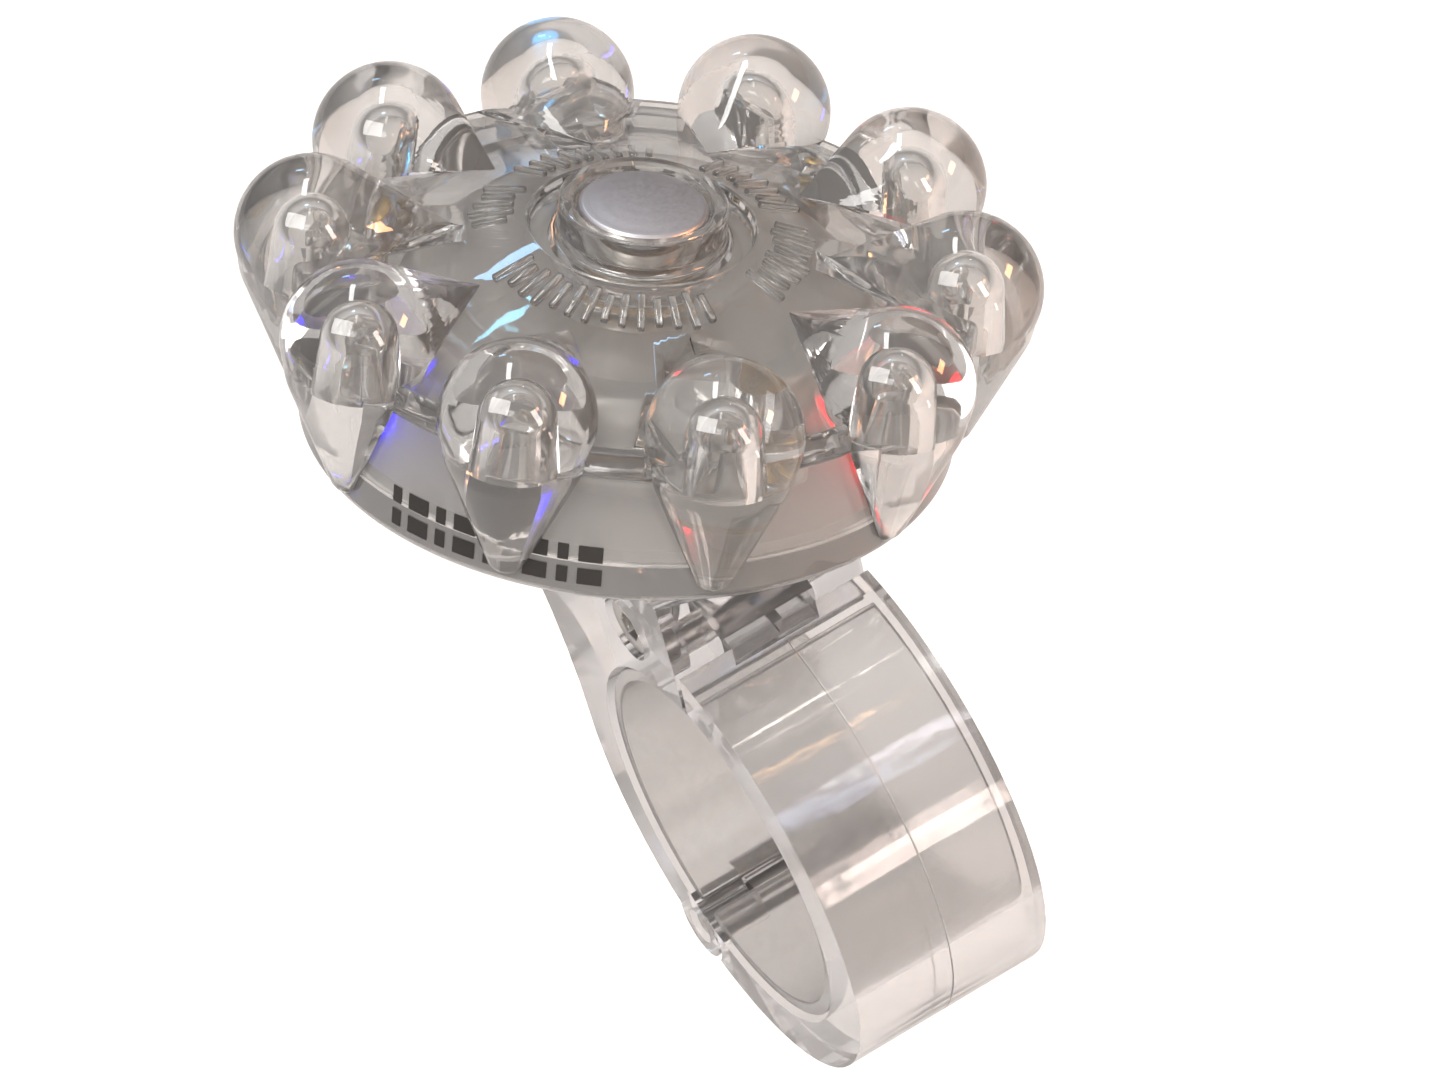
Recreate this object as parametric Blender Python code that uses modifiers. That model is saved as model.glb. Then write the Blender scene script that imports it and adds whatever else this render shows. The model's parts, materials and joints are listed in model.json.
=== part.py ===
"""Clear twist-top handlebar bell with a small light module, every piece in its own object.

The model's origin is the centre of the handlebar.  X runs along the bar and Z points up from
the bar towards the bell.  The bell's spin axis leans towards +X, so its pieces are modelled
in a frame of their own, an empty that stands at the bottom centre of the drum.
"""
import math

import bmesh
import bpy
from mathutils import Matrix

# Sizes are in millimetres and angles in degrees.  MM turns a size into Blender's metres.
MM = 0.001

# Clearances
SEAT_GAP = 0.3              # between two pieces that rest on each other
RUN_GAP = 0.3               # round a piece that turns
SWING_GAP = 0.6             # round a piece that swings past another
CUT_PAST = 1.0              # how far a cutter reaches past what it cuts

# Handlebar clamp: a saddle arm and a hinged strap round the bar
CLAMP_WIDTH = 13.6
CLAMP_BORE_R = 12.5
CLAMP_WALL = 3.2
LINER_THICK = 0.9
LINER_INSET = 0.3           # the liner stops this far inside the clamp's side faces
SPLIT_ANGLE = -5.4          # where the strap meets the saddle, from +Z towards +Y
HINGE_ANGLE = 150.0         # where the strap's hinge is, from +Z towards +Y
HINGE_OUT = 2.4             # pin centre outside the bore
HINGE_PIN_R = 0.9
KNUCKLE_WALL = 1.0
STRAP_KNUCKLE_WIDTH = 6.4

# Strap closure: a tongue that swings into a slot, held by a pinch screw
TONGUE_WIDTH = 6.0
TONGUE_THICK = 2.6
TONGUE_RISE = 1.9           # tongue centre outside the bore at the split
TONGUE_ROOT = 3.5           # length of the tongue inside the strap
PINCH_ANGLE = 18.4
PINCH_RISE = 0.1            # pinch screw centre outside the clamp's outer face
PINCH_R = 1.0
PINCH_HEAD_R = 1.9
PINCH_HEAD_HIGH = 1.4
PINCH_TIP_INSET = 1.8       # solid wall past the tip of the pinch screw
SLOT_PAST_SCREW = 1.6

# Saddle block, which carries the drum
SADDLE_REACH = 8.9          # how far its top reaches past the clamp, along +Y
SADDLE_RISE = 6.8           # its top above the clamp, before the cut along the drum's underside
SADDLE_WAIST_DROP = 5.2     # where the flank turns outwards, below the clamp's top

# Where the head sits on the clamp
HEAD_LEAN = 18.8
HEAD_RISE = 2.22            # drum underside outside the clamp, along the spin axis
HEAD_SIDE = 1.4             # drum centre along the bar
HEAD_BEHIND = 1.4           # drum centre past the clamp's outer radius, along +Y

# Drum-shaped base cup
CUP_R = 20.2
CUP_HIGH = 8.9
CUP_WALL = 1.5
CUP_FLOOR = 2.0
CUP_ROUND = 1.0

# Spindle
STEM_DEPTH = 3.5            # how deep the spindle's stem goes into the saddle
SHAFT_R = 1.8
COLUMN_R = 3.2
COLUMN_TOP = 8.2

# Screws that hold the cup to the saddle
SADDLE_SCREW_R = 0.95
SADDLE_SCREW_HEAD_R = 1.9
SADDLE_SCREW_LONG = 5.0     # below the drum's underside
SADDLE_SCREW_EDGE = 3.6      # inside the clamp's side face
SADDLE_SCREW_FRONT = 7.6    # in front of the spindle

# Gong
GONG_ROOM = 4.1             # between the gong and the drum's wall, for lights and strikers
GONG_THICK = 0.8
GONG_SKIRT_LOW = 5.2
GONG_ROUND = 1.6
GONG_NUT_R = 3.2
GONG_NUT_HIGH = 0.7
WASHER_R = 3.4
WASHER_THICK = 0.3

# Light module
CELL_R = 3.95
CELL_HIGH = 3.6
CELL_COUNT = 3
CELL_WEB = 0.2              # tray wall between a cell's pocket and the column's hole
TRAY_WALL = 0.3             # tray wall outside a cell's pocket
TRAY_FLOOR = 0.6
TRAY_HIGH = 2.6
CONTACT_THICK = 0.4
BOARD_EDGE_GAP = 0.4        # between the board and the drum's wall
BOARD_THICK = 0.8
LED_R = 1.5
LED_HIGH = 2.1
LED_ANGLES = (172.0, 303.0, 74.6)
LED_INSET = 2.1             # LED centre inside the drum's wall
SWITCH_SIZE = (1.9, 4.6, 1.4)
SWITCH_ANGLE = 130.0
CHIP_SIZE = (2.6, 2.6, 1.0)
CHIP_ANGLE = 20.0

# Rotating cap
ROTOR_OVERHANG = 0.4        # cap's rim outside the drum
ROTOR_EDGE_HIGH = 1.9
SHELL_TOP = ((7.1, 14.4), (10.5, 13.4))     # radius and height of the rim round the dish and its foot
SHELL_THICK = 1.7
DISH_FLOOR = 13.8
COLLAR_R = 5.2
COLLAR_WALL = 0.9
COLLAR_TOP = 16.1
DISH_DRAFT = 0.2            # slope of the dish's wall
HUB_LOW = 11.2
HUB_DRAFT = 0.6             # slope of the hub's outside
HUB_RISE = 0.4              # the shell's underside is this much higher at the hub
BUSH_WALL = 0.65
CAP_TOP = 15.9
CAP_THICK = 1.3
CAP_ROUND = 0.3
DOME_COUNT = 10
DOME_ANGLE = 2.6
DOME_INSET = 0.3            # dome centre inside the drum's side
DOME_HIGH = 11.8
DOME_R = 4.8
LEAF_TIP_R = 11.5
LEAF_TIP_HIGH = 13.2
SHOULDER_R = 4.5            # the ball that a dome's tail starts from
SHOULDER_HIGH = 10.3
TAIL_END_R = 1.4
TAIL_TIP_LOW = 1.0
TAIL_TIP_OUT = 0.8          # outside the cut that clears the drum
POCKET_R = 1.5
POCKET_DEPTH = 4.1

# Strikers that swing on pins under the cap
STRIKER_COUNT = 3
STRIKER_ANGLE = 20.6
STRIKER_INSET = 1.8         # striker pin inside the drum's wall
STRIKER_PIN_R = 0.6
STRIKER_PIN_HEAD_R = 1.1
STRIKER_PIN_HEAD_HIGH = 0.4
STRIKER_PIN_GRIP = 1.3      # length inside the cap
STRIKER_LOW = 6.8
STRIKER_THICK = 1.5
STRIKER_HUB_R = 1.35
STRIKER_REACH = 3.2
STRIKER_HEAD_R = 1.1
STRIKER_ARM_WIDTH = 1.0
STRIKER_ARM_INSET = 0.2     # the arm is this much thinner than the hub on each face

# Facets
BIG_STEPS = 48
SMALL_STEPS = 24
ARC_STEP = 6.0              # degrees per facet on the clamp's arcs

# Sizes that follow from the ones above
CLAMP_OUTER_R = CLAMP_BORE_R + CLAMP_WALL
HALF_WIDTH = CLAMP_WIDTH / 2
SADDLE_TOP = CLAMP_OUTER_R + SADDLE_RISE
SADDLE_WAIST = CLAMP_OUTER_R - SADDLE_WAIST_DROP
HINGE_R = CLAMP_BORE_R + HINGE_OUT
KNUCKLE_R = HINGE_PIN_R + RUN_GAP + KNUCKLE_WALL
CUP_INNER_R = CUP_R - CUP_WALL
GONG_R = CUP_INNER_R - GONG_ROOM
BOARD_OUTER_R = CUP_INNER_R - BOARD_EDGE_GAP
LED_CIRCLE_R = CUP_INNER_R - LED_INSET
STRIKER_CIRCLE_R = CUP_INNER_R - STRIKER_INSET
ROTOR_R = CUP_R + ROTOR_OVERHANG
DOME_CIRCLE_R = CUP_R - DOME_INSET
MODULE_LOW = CUP_FLOOR + SEAT_GAP
BOARD_TOP = MODULE_LOW + BOARD_THICK
CELL_POCKET_R = CELL_R + SEAT_GAP / 2
CELL_CIRCLE_R = COLUMN_R + SEAT_GAP + CELL_WEB + CELL_POCKET_R
TRAY_R = CELL_CIRCLE_R + CELL_POCKET_R + TRAY_WALL
BOARD_INNER_R = TRAY_R + RUN_GAP
CELL_LOW = MODULE_LOW + TRAY_FLOOR + SEAT_GAP
CONTACT_LOW = CELL_LOW + CELL_HIGH + SEAT_GAP
GONG_TOP = COLUMN_TOP + SEAT_GAP + GONG_THICK
NUT_LOW = GONG_TOP + SEAT_GAP
WASHER_LOW = NUT_LOW + GONG_NUT_HIGH + SEAT_GAP
ROTOR_LOW = CUP_HIGH + SEAT_GAP
ROTOR_EDGE_TOP = ROTOR_LOW + ROTOR_EDGE_HIGH
COLLAR_INNER_R = COLLAR_R - COLLAR_WALL
BUSH_INNER_R = SHAFT_R + RUN_GAP
BUSH_R = BUSH_INNER_R + BUSH_WALL
CAP_R = COLLAR_INNER_R - RUN_GAP
CAP_LOW = CAP_TOP - CAP_THICK
CAP_BOSS_LOW = DISH_FLOOR + SEAT_GAP
SHAFT_TOP = CAP_TOP - CAP_THICK + SEAT_GAP
LEAN = math.radians(HEAD_LEAN)
SADDLE_SCREW_MID = -HEAD_SIDE / math.cos(LEAN)
SADDLE_SCREW_SPACING = CLAMP_WIDTH - 2 * SADDLE_SCREW_EDGE


def polar(radius, angle):
    """Y and Z of a point round the bar, the angle counted from +Z towards +Y."""
    turn = math.radians(angle)
    return (radius * math.sin(turn), radius * math.cos(turn))


HINGE_Y, HINGE_Z = polar(HINGE_R, HINGE_ANGLE)
PINCH_Y, PINCH_Z = polar(CLAMP_OUTER_R + PINCH_RISE, PINCH_ANGLE)


def round_hinge(radius, angle):
    """Y and Z of a point round the hinge pin, the angle counted from +Z towards +Y."""
    y, z = polar(radius, angle)
    return (HINGE_Y + y, HINGE_Z + z)


def hinge_polar(y, z):
    """Distance and angle of a point as the hinge pin sees it."""
    away = math.hypot(y - HINGE_Y, z - HINGE_Z)
    return away, math.degrees(math.atan2(y - HINGE_Y, z - HINGE_Z))


TONGUE_ARC_R, TONGUE_SPLIT_ANGLE = hinge_polar(*polar(CLAMP_BORE_R + TONGUE_RISE, SPLIT_ANGLE))
PINCH_SWING_ANGLE = hinge_polar(PINCH_Y, PINCH_Z)[1]


def arc_angle(length, radius):
    """Angle of an arc of this length."""
    return math.degrees(length / radius)


# ---------------------------------------------------------------- scene and small helpers

def clear_scene():
    for item in list(bpy.data.objects):
        bpy.data.objects.remove(item, do_unlink=True)


def new_collection(name):
    collection = bpy.data.collections.new(name)
    bpy.context.scene.collection.children.link(collection)
    return collection


clear_scene()
PIECES = new_collection("twist_top_bell")
CUTTERS = new_collection("cutters")


def make_material(name, colour, roughness, metallic=0.0, transmission=0.0):
    material = bpy.data.materials.new(name)
    material.use_nodes = True
    shader = material.node_tree.nodes["Principled BSDF"]
    shader.inputs["Base Color"].default_value = (*colour, 1.0)
    shader.inputs["Roughness"].default_value = roughness
    shader.inputs["Metallic"].default_value = metallic
    shader.inputs["Transmission Weight"].default_value = transmission
    return material


def clear_plastic(name):
    return make_material(name, (0.82, 0.78, 0.77), 0.08, transmission=0.9)


def metal(name, colour, roughness):
    return make_material(name, colour, roughness, metallic=1.0)


STEEL = (0.62, 0.61, 0.60)
BRASS = (0.75, 0.58, 0.30)


def new_empty(name, location, parent=None, lean=0.0, turn=0.0):
    """A joint axis or a frame, placed by its location in millimetres and its angles."""
    empty = bpy.data.objects.new(name, None)
    PIECES.objects.link(empty)
    empty.location = [value * MM for value in location]
    empty.rotation_euler = (0.0, math.radians(lean), math.radians(turn))
    empty.empty_display_size = 5 * MM
    empty.parent = parent
    return empty


def new_object(name, mesh, parent=None, material=None):
    """A piece when it has a material, otherwise a cutter or a shape to be joined."""
    item = bpy.data.objects.new(name, mesh)
    item.parent = parent
    if material is None:
        CUTTERS.objects.link(item)
        item.hide_render = True
        item.display_type = "WIRE"
        return item
    PIECES.objects.link(item)
    mesh.materials.append(material)
    mesh.shade_smooth()
    mesh.set_sharp_from_angle(angle=math.radians(35))
    return item


def keep_place(item, parent):
    """Parents a piece that is modelled round the bar to a joint's empty without moving it."""
    bpy.context.view_layer.update()
    item.parent = parent
    item.matrix_parent_inverse = parent.matrix_world.inverted()


def boolean(item, other, operation):
    modifier = item.modifiers.new(operation.lower() + "_" + other.name, "BOOLEAN")
    modifier.object = other
    modifier.operation = operation
    modifier.solver = "EXACT"


def cut(item, *cutters):
    for cutter in cutters:
        boolean(item, cutter, "DIFFERENCE")


def join(item, *others):
    for other in others:
        boolean(item, other, "UNION")


def mesh_from(bm, name):
    mesh = bpy.data.meshes.new(name)
    bm.to_mesh(mesh)
    bm.free()
    return mesh


def turned(name, profile, parent=None, material=None, steps=SMALL_STEPS, closed=True, at=(0.0, 0.0)):
    """A turned piece.  Its profile of radii and heights runs down the outer side first."""
    bm = bmesh.new()
    points = [bm.verts.new((radius * MM, 0.0, height * MM)) for radius, height in profile]
    for start, end in zip(points, points[1:]):
        bm.edges.new((start, end))
    if closed:
        bm.edges.new((points[-1], points[0]))
    item = new_object(name, mesh_from(bm, name), parent, material)
    item.location = (at[0] * MM, at[1] * MM, 0.0)
    screw = item.modifiers.new("turn", "SCREW")
    screw.axis = "Z"
    screw.steps = steps
    screw.render_steps = steps
    screw.use_merge_vertices = True
    screw.merge_threshold = 0.00001
    screw.use_smooth_shade = material is not None
    return item


def disc(name, radius, low, high, parent=None, material=None, steps=SMALL_STEPS, at=(0.0, 0.0)):
    """A round bar along Z, from the height low to the height high."""
    bm = bmesh.new()
    middle = Matrix.Translation((0.0, 0.0, (low + high) / 2 * MM))
    bmesh.ops.create_cone(bm, cap_ends=True, segments=steps, radius1=radius * MM,
                          radius2=radius * MM, depth=(high - low) * MM, matrix=middle)
    item = new_object(name, mesh_from(bm, name), parent, material)
    item.location = (at[0] * MM, at[1] * MM, 0.0)
    return item


def ring(name, inner, outer, low, high, parent=None, material=None, steps=SMALL_STEPS):
    """A flat ring, such as a washer."""
    profile = [(outer, high), (outer, low), (inner, low), (inner, high)]
    return turned(name, profile, parent, material, steps)


def bar(name, radius, low, high, y, z, material=None, steps=SMALL_STEPS):
    """A round bar along X, from x = low to x = high."""
    bm = bmesh.new()
    place = Matrix.Translation(((low + high) / 2 * MM, y * MM, z * MM))
    place = place @ Matrix.Rotation(math.radians(90), 4, "Y")
    bmesh.ops.create_cone(bm, cap_ends=True, segments=steps, radius1=radius * MM,
                          radius2=radius * MM, depth=(high - low) * MM, matrix=place)
    return new_object(name, mesh_from(bm, name), None, material)


def box(name, size, low, parent=None, material=None, at=(0.0, 0.0), turn=0.0):
    """A box that stands at the height low, its middle at the place at."""
    bm = bmesh.new()
    bmesh.ops.create_cube(bm, size=1.0)
    bmesh.ops.scale(bm, vec=[value * MM for value in size], verts=bm.verts)
    bmesh.ops.translate(bm, vec=(0.0, 0.0, (low + size[2] / 2) * MM), verts=bm.verts)
    item = new_object(name, mesh_from(bm, name), parent, material)
    item.location = (at[0] * MM, at[1] * MM, 0.0)
    item.rotation_euler = (0.0, 0.0, math.radians(turn))
    return item


def plate(name, outline, low, high, material=None):
    """An outline of Y and Z round the bar, made as thick as x = low to x = high."""
    curve = bpy.data.curves.new(name, "CURVE")
    curve.dimensions = "2D"
    curve.fill_mode = "BOTH"
    curve.extrude = (high - low) / 2 * MM
    spline = curve.splines.new("POLY")
    spline.points.add(len(outline) - 1)
    for point, (y, z) in zip(spline.points, outline):
        point.co = (y * MM, z * MM, 0.0, 1.0)
    spline.use_cyclic_u = True
    flat = bpy.data.objects.new(name + "_outline", curve)
    CUTTERS.objects.link(flat)
    depsgraph = bpy.context.evaluated_depsgraph_get()
    mesh = bpy.data.meshes.new_from_object(flat.evaluated_get(depsgraph))
    bpy.data.objects.remove(flat, do_unlink=True)
    bpy.data.curves.remove(curve)
    bm = bmesh.new()
    bm.from_mesh(mesh)
    bmesh.ops.remove_doubles(bm, verts=bm.verts, dist=0.000001)
    stand = Matrix(((0, 0, 1, (low + high) / 2 * MM), (1, 0, 0, 0), (0, 1, 0, 0), (0, 0, 0, 1)))
    bmesh.ops.transform(bm, matrix=stand, verts=bm.verts)
    bmesh.ops.recalc_face_normals(bm, faces=bm.faces)
    bm.to_mesh(mesh)
    bm.free()
    mesh.name = name
    return new_object(name, mesh, None, material)


def arc(radius, start, end, place=polar):
    """Points on an arc, with its two ends."""
    count = max(2, math.ceil(abs(end - start) / ARC_STEP))
    return [place(radius, start + (end - start) * step / count) for step in range(count + 1)]


def band(inner, outer, start, end, place=polar):
    """Outline of a stretch of a ring."""
    return arc(inner, start, end, place) + arc(outer, end, start, place)


def around(radius, angle):
    """X and Y of a point in the head's frame."""
    return (radius * math.cos(math.radians(angle)), radius * math.sin(math.radians(angle)))


def dome_angle(number):
    return DOME_ANGLE + number * 360.0 / DOME_COUNT


def fillet(centre, radius, start, end, count=3):
    """Points of a rounded corner in a turned profile."""
    points = []
    for step in range(count + 1):
        angle = math.radians(start + (end - start) * step / count)
        points.append((centre[0] + radius * math.cos(angle), centre[1] + radius * math.sin(angle)))
    return points


# ---------------------------------------------------------------- frames and joint axes

HEAD_LOW = (CLAMP_OUTER_R + HEAD_RISE - math.sin(LEAN) * HEAD_SIDE) / math.cos(LEAN)
HEAD_PLACE = (HEAD_SIDE, CLAMP_OUTER_R + HEAD_BEHIND, HEAD_LOW)
HEAD = new_empty("head_frame", HEAD_PLACE, lean=HEAD_LEAN)
SPIN_AXIS = new_empty("spin_axis", (0, 0, 0), parent=HEAD)
HINGE_AXIS = new_empty("strap_hinge_axis", (0, HINGE_Y, HINGE_Z))
PINCH_AXIS = new_empty("clamp_screw_axis", (0, PINCH_Y, PINCH_Z))


# ---------------------------------------------------------------- handlebar clamp

def saddle_outline():
    """Block and arm in one outline: up at the split, over, down the flank, round the bar."""
    split = SPLIT_ANGLE + arc_angle(SEAT_GAP, CLAMP_OUTER_R)
    front = polar(CLAMP_OUTER_R, split)
    outline = [front, (front[0], SADDLE_TOP)]
    foot = (CLAMP_OUTER_R, 0.0)
    waist = (CLAMP_OUTER_R, SADDLE_WAIST)
    top = (CLAMP_OUTER_R + SADDLE_REACH, SADDLE_TOP)
    for step in range(8, -1, -1):
        t = step / 8
        weights = (((1 - t) ** 2, foot), (2 * t * (1 - t), waist), (t * t, top))
        outline.append(tuple(sum(weight * point[i] for weight, point in weights) for i in (0, 1)))
    outline += arc(CLAMP_OUTER_R, 90.0, HINGE_ANGLE)[1:]
    outline += arc(CLAMP_BORE_R, HINGE_ANGLE, split)
    return outline


def knuckle_sides():
    """The two stretches of the hinge that belong to the saddle."""
    inner = STRAP_KNUCKLE_WIDTH / 2 + RUN_GAP
    return ((-HALF_WIDTH, -inner), (inner, HALF_WIDTH))


def make_saddle():
    saddle = plate("saddle", saddle_outline(), -HALF_WIDTH, HALF_WIDTH, clear_plastic("clear_saddle"))
    above = box("above_saddle", (6 * CUP_R, 6 * CUP_R, 2 * SADDLE_TOP), -SEAT_GAP, HEAD)
    cut(saddle, above)
    half_slot = TONGUE_THICK / 2 + RUN_GAP
    slot_start = TONGUE_SPLIT_ANGLE - arc_angle(SLOT_PAST_SCREW, TONGUE_ARC_R)
    slot_end = PINCH_SWING_ANGLE + arc_angle(SLOT_PAST_SCREW, TONGUE_ARC_R)
    slot = band(TONGUE_ARC_R - half_slot, TONGUE_ARC_R + half_slot, slot_start, slot_end, round_hinge)
    slot_side = TONGUE_WIDTH / 2 + RUN_GAP
    cut(saddle, plate("tongue_slot", slot, -slot_side, slot_side))
    tip = HALF_WIDTH - PINCH_TIP_INSET + SEAT_GAP
    head_room = HALF_WIDTH - PINCH_HEAD_HIGH - 2 * SEAT_GAP
    cut(saddle, bar("pinch_hole", PINCH_R + RUN_GAP, -CLAMP_WIDTH, tip, PINCH_Y, PINCH_Z))
    cut(saddle, bar("pinch_counterbore", PINCH_HEAD_R + RUN_GAP, -CLAMP_WIDTH, -head_room,
                    PINCH_Y, PINCH_Z))
    cut(saddle, disc("stem_hole", SHAFT_R + SEAT_GAP, -STEM_DEPTH - SEAT_GAP, SADDLE_TOP, HEAD))
    for number, place in enumerate(saddle_screw_places(), start=1):
        cut(saddle, disc(f"saddle_screw_hole_{number}", SADDLE_SCREW_R + SEAT_GAP,
                         -SADDLE_SCREW_LONG - SEAT_GAP, SADDLE_TOP, HEAD, at=place))
    reach = STRAP_KNUCKLE_WIDTH / 2 + RUN_GAP
    cut(saddle, bar("strap_knuckle_room", KNUCKLE_R + RUN_GAP, -reach, reach, HINGE_Y, HINGE_Z))
    for side, (low, high) in enumerate(knuckle_sides(), start=1):
        join(saddle, bar(f"saddle_knuckle_{side}", KNUCKLE_R, low, high, HINGE_Y, HINGE_Z))
    cut(saddle, bar("saddle_pin_hole", HINGE_PIN_R + RUN_GAP, -CLAMP_WIDTH, CLAMP_WIDTH,
                    HINGE_Y, HINGE_Z))


def make_strap():
    split = SPLIT_ANGLE - arc_angle(SEAT_GAP, CLAMP_OUTER_R)
    outline = band(CLAMP_BORE_R, CLAMP_OUTER_R, HINGE_ANGLE - 360.0, split)
    strap = plate("strap", outline, -HALF_WIDTH, HALF_WIDTH, clear_plastic("clear_strap"))
    reach = STRAP_KNUCKLE_WIDTH / 2
    for side, (low, high) in enumerate(((-CLAMP_WIDTH, -reach), (reach, CLAMP_WIDTH)), start=1):
        cut(strap, bar(f"saddle_knuckle_room_{side}", KNUCKLE_R + RUN_GAP, low, high,
                       HINGE_Y, HINGE_Z))
    join(strap, bar("strap_knuckle", KNUCKLE_R, -reach, reach, HINGE_Y, HINGE_Z))
    cut(strap, bar("strap_pin_hole", HINGE_PIN_R + RUN_GAP, -CLAMP_WIDTH, CLAMP_WIDTH,
                   HINGE_Y, HINGE_Z))
    root = TONGUE_SPLIT_ANGLE - arc_angle(TONGUE_ROOT, TONGUE_ARC_R)
    tip = PINCH_SWING_ANGLE - arc_angle(PINCH_R + SWING_GAP, TONGUE_ARC_R)
    half_thick = TONGUE_THICK / 2
    tongue = band(TONGUE_ARC_R - half_thick, TONGUE_ARC_R + half_thick, root, tip, round_hinge)
    join(strap, plate("strap_tongue", tongue, -TONGUE_WIDTH / 2, TONGUE_WIDTH / 2))
    keep_place(strap, HINGE_AXIS)


def make_hinge_pin():
    bar("hinge_pin", HINGE_PIN_R, -HALF_WIDTH + LINER_INSET, HALF_WIDTH - LINER_INSET,
        HINGE_Y, HINGE_Z, metal("pin_steel", STEEL, 0.3))


def make_liners():
    """Soft strips that grip the bar, one in the saddle and one in the strap."""
    rubber = make_material("soft_liner", (0.70, 0.67, 0.66), 0.45, transmission=0.6)
    outer = CLAMP_BORE_R - SEAT_GAP
    inner = outer - LINER_THICK
    side = HALF_WIDTH - LINER_INSET
    edge = arc_angle(SWING_GAP, outer)
    saddle_strip = band(inner, outer, SPLIT_ANGLE + edge, HINGE_ANGLE - edge)
    plate("bar_liner_saddle", saddle_strip, -side, side, rubber)
    strap_strip = band(inner, outer, HINGE_ANGLE - 360.0 + edge, SPLIT_ANGLE - edge)
    keep_place(plate("bar_liner_strap", strap_strip, -side, side, rubber), HINGE_AXIS)


def make_clamp_screw():
    """Pinch screw along the bar, its hexagon socket in the head at -X."""
    head_face = -HALF_WIDTH + SEAT_GAP
    head_foot = head_face + PINCH_HEAD_HIGH
    tip = HALF_WIDTH - PINCH_TIP_INSET
    screw = bar("clamp_screw", PINCH_R, head_foot - SEAT_GAP, tip, PINCH_Y, PINCH_Z,
                metal("screw_steel", STEEL, 0.3))
    join(screw, bar("clamp_screw_head", PINCH_HEAD_R, head_face, head_foot, PINCH_Y, PINCH_Z))
    cut(screw, bar("clamp_screw_socket", PINCH_R, -CLAMP_WIDTH, head_face + PINCH_HEAD_HIGH / 2,
                   PINCH_Y, PINCH_Z, steps=6))
    keep_place(screw, PINCH_AXIS)


# ---------------------------------------------------------------- base of the head

def saddle_screw_places():
    half = SADDLE_SCREW_SPACING / 2
    return [(SADDLE_SCREW_MID + side * half, -SADDLE_SCREW_FRONT) for side in (-1, 1)]


def countersunk(head_r, shank_r, top, low):
    """Profile of a countersunk screw or of its hole."""
    return [(0.0, top), (head_r, top), (shank_r, top - (head_r - shank_r)), (shank_r, low), (0.0, low)]


def make_base_cup():
    profile = [(CUP_R, CUP_HIGH)]
    profile += fillet((CUP_R - CUP_ROUND, CUP_ROUND), CUP_ROUND, 0, -90)
    profile += [(SHAFT_R + SEAT_GAP, 0.0), (SHAFT_R + SEAT_GAP, CUP_FLOOR)]
    profile += [(CUP_INNER_R - CUP_ROUND / 2, CUP_FLOOR), (CUP_INNER_R, CUP_FLOOR + CUP_ROUND / 2)]
    profile += [(CUP_INNER_R, CUP_HIGH)]
    cup = turned("base_cup", profile, HEAD, clear_plastic("clear_cup"), BIG_STEPS)
    head_r = SADDLE_SCREW_HEAD_R + SEAT_GAP
    hole = [(0.0, CUP_FLOOR + CUT_PAST), (head_r, CUP_FLOOR + CUT_PAST)]
    hole += countersunk(head_r, SADDLE_SCREW_R + SEAT_GAP, CUP_FLOOR, -CUT_PAST)[1:]
    for number, place in enumerate(saddle_screw_places(), start=1):
        cut(cup, turned(f"cup_screw_hole_{number}", hole, HEAD, closed=False, at=place))


def make_saddle_screws():
    steel = metal("countersunk_steel", STEEL, 0.35)
    profile = countersunk(SADDLE_SCREW_HEAD_R, SADDLE_SCREW_R, CUP_FLOOR, -SADDLE_SCREW_LONG)
    for number, place in enumerate(saddle_screw_places(), start=1):
        turned(f"saddle_screw_{number}", profile, HEAD, steel, closed=False, at=place)


def make_spindle():
    profile = [(0.0, SHAFT_TOP), (SHAFT_R, SHAFT_TOP), (SHAFT_R, COLUMN_TOP), (COLUMN_R, COLUMN_TOP)]
    profile += [(COLUMN_R, MODULE_LOW), (SHAFT_R, MODULE_LOW)]
    profile += [(SHAFT_R, -STEM_DEPTH), (0.0, -STEM_DEPTH)]
    turned("spindle", profile, HEAD, metal("spindle_steel", STEEL, 0.25), closed=False)


def make_gong():
    """Inverted steel dish that rings, on the spindle's shoulder."""
    outer = fillet((GONG_R - GONG_ROUND, GONG_TOP - GONG_ROUND), GONG_ROUND, 90, 0)
    inner_r = GONG_R - GONG_THICK
    inner_round = GONG_ROUND - GONG_THICK
    inner_centre = (inner_r - inner_round, GONG_TOP - GONG_THICK - inner_round)
    profile = outer + [(GONG_R, GONG_SKIRT_LOW), (inner_r, GONG_SKIRT_LOW)]
    profile += fillet(inner_centre, inner_round, 0, 90)
    profile += [(SHAFT_R + SEAT_GAP, GONG_TOP - GONG_THICK), (SHAFT_R + SEAT_GAP, GONG_TOP)]
    turned("gong", profile, HEAD, metal("gong_steel", STEEL, 0.22), BIG_STEPS)
    inner = SHAFT_R + SEAT_GAP
    nut = disc("gong_nut", GONG_NUT_R, NUT_LOW, NUT_LOW + GONG_NUT_HIGH, HEAD,
               metal("nut_brass", BRASS, 0.3), steps=6)
    cut(nut, disc("gong_nut_bore", inner, NUT_LOW - CUT_PAST, WASHER_LOW, HEAD))
    ring("thrust_washer", inner, WASHER_R, WASHER_LOW, WASHER_LOW + WASHER_THICK, HEAD,
         make_material("white_nylon", (0.85, 0.85, 0.83), 0.4))


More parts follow.
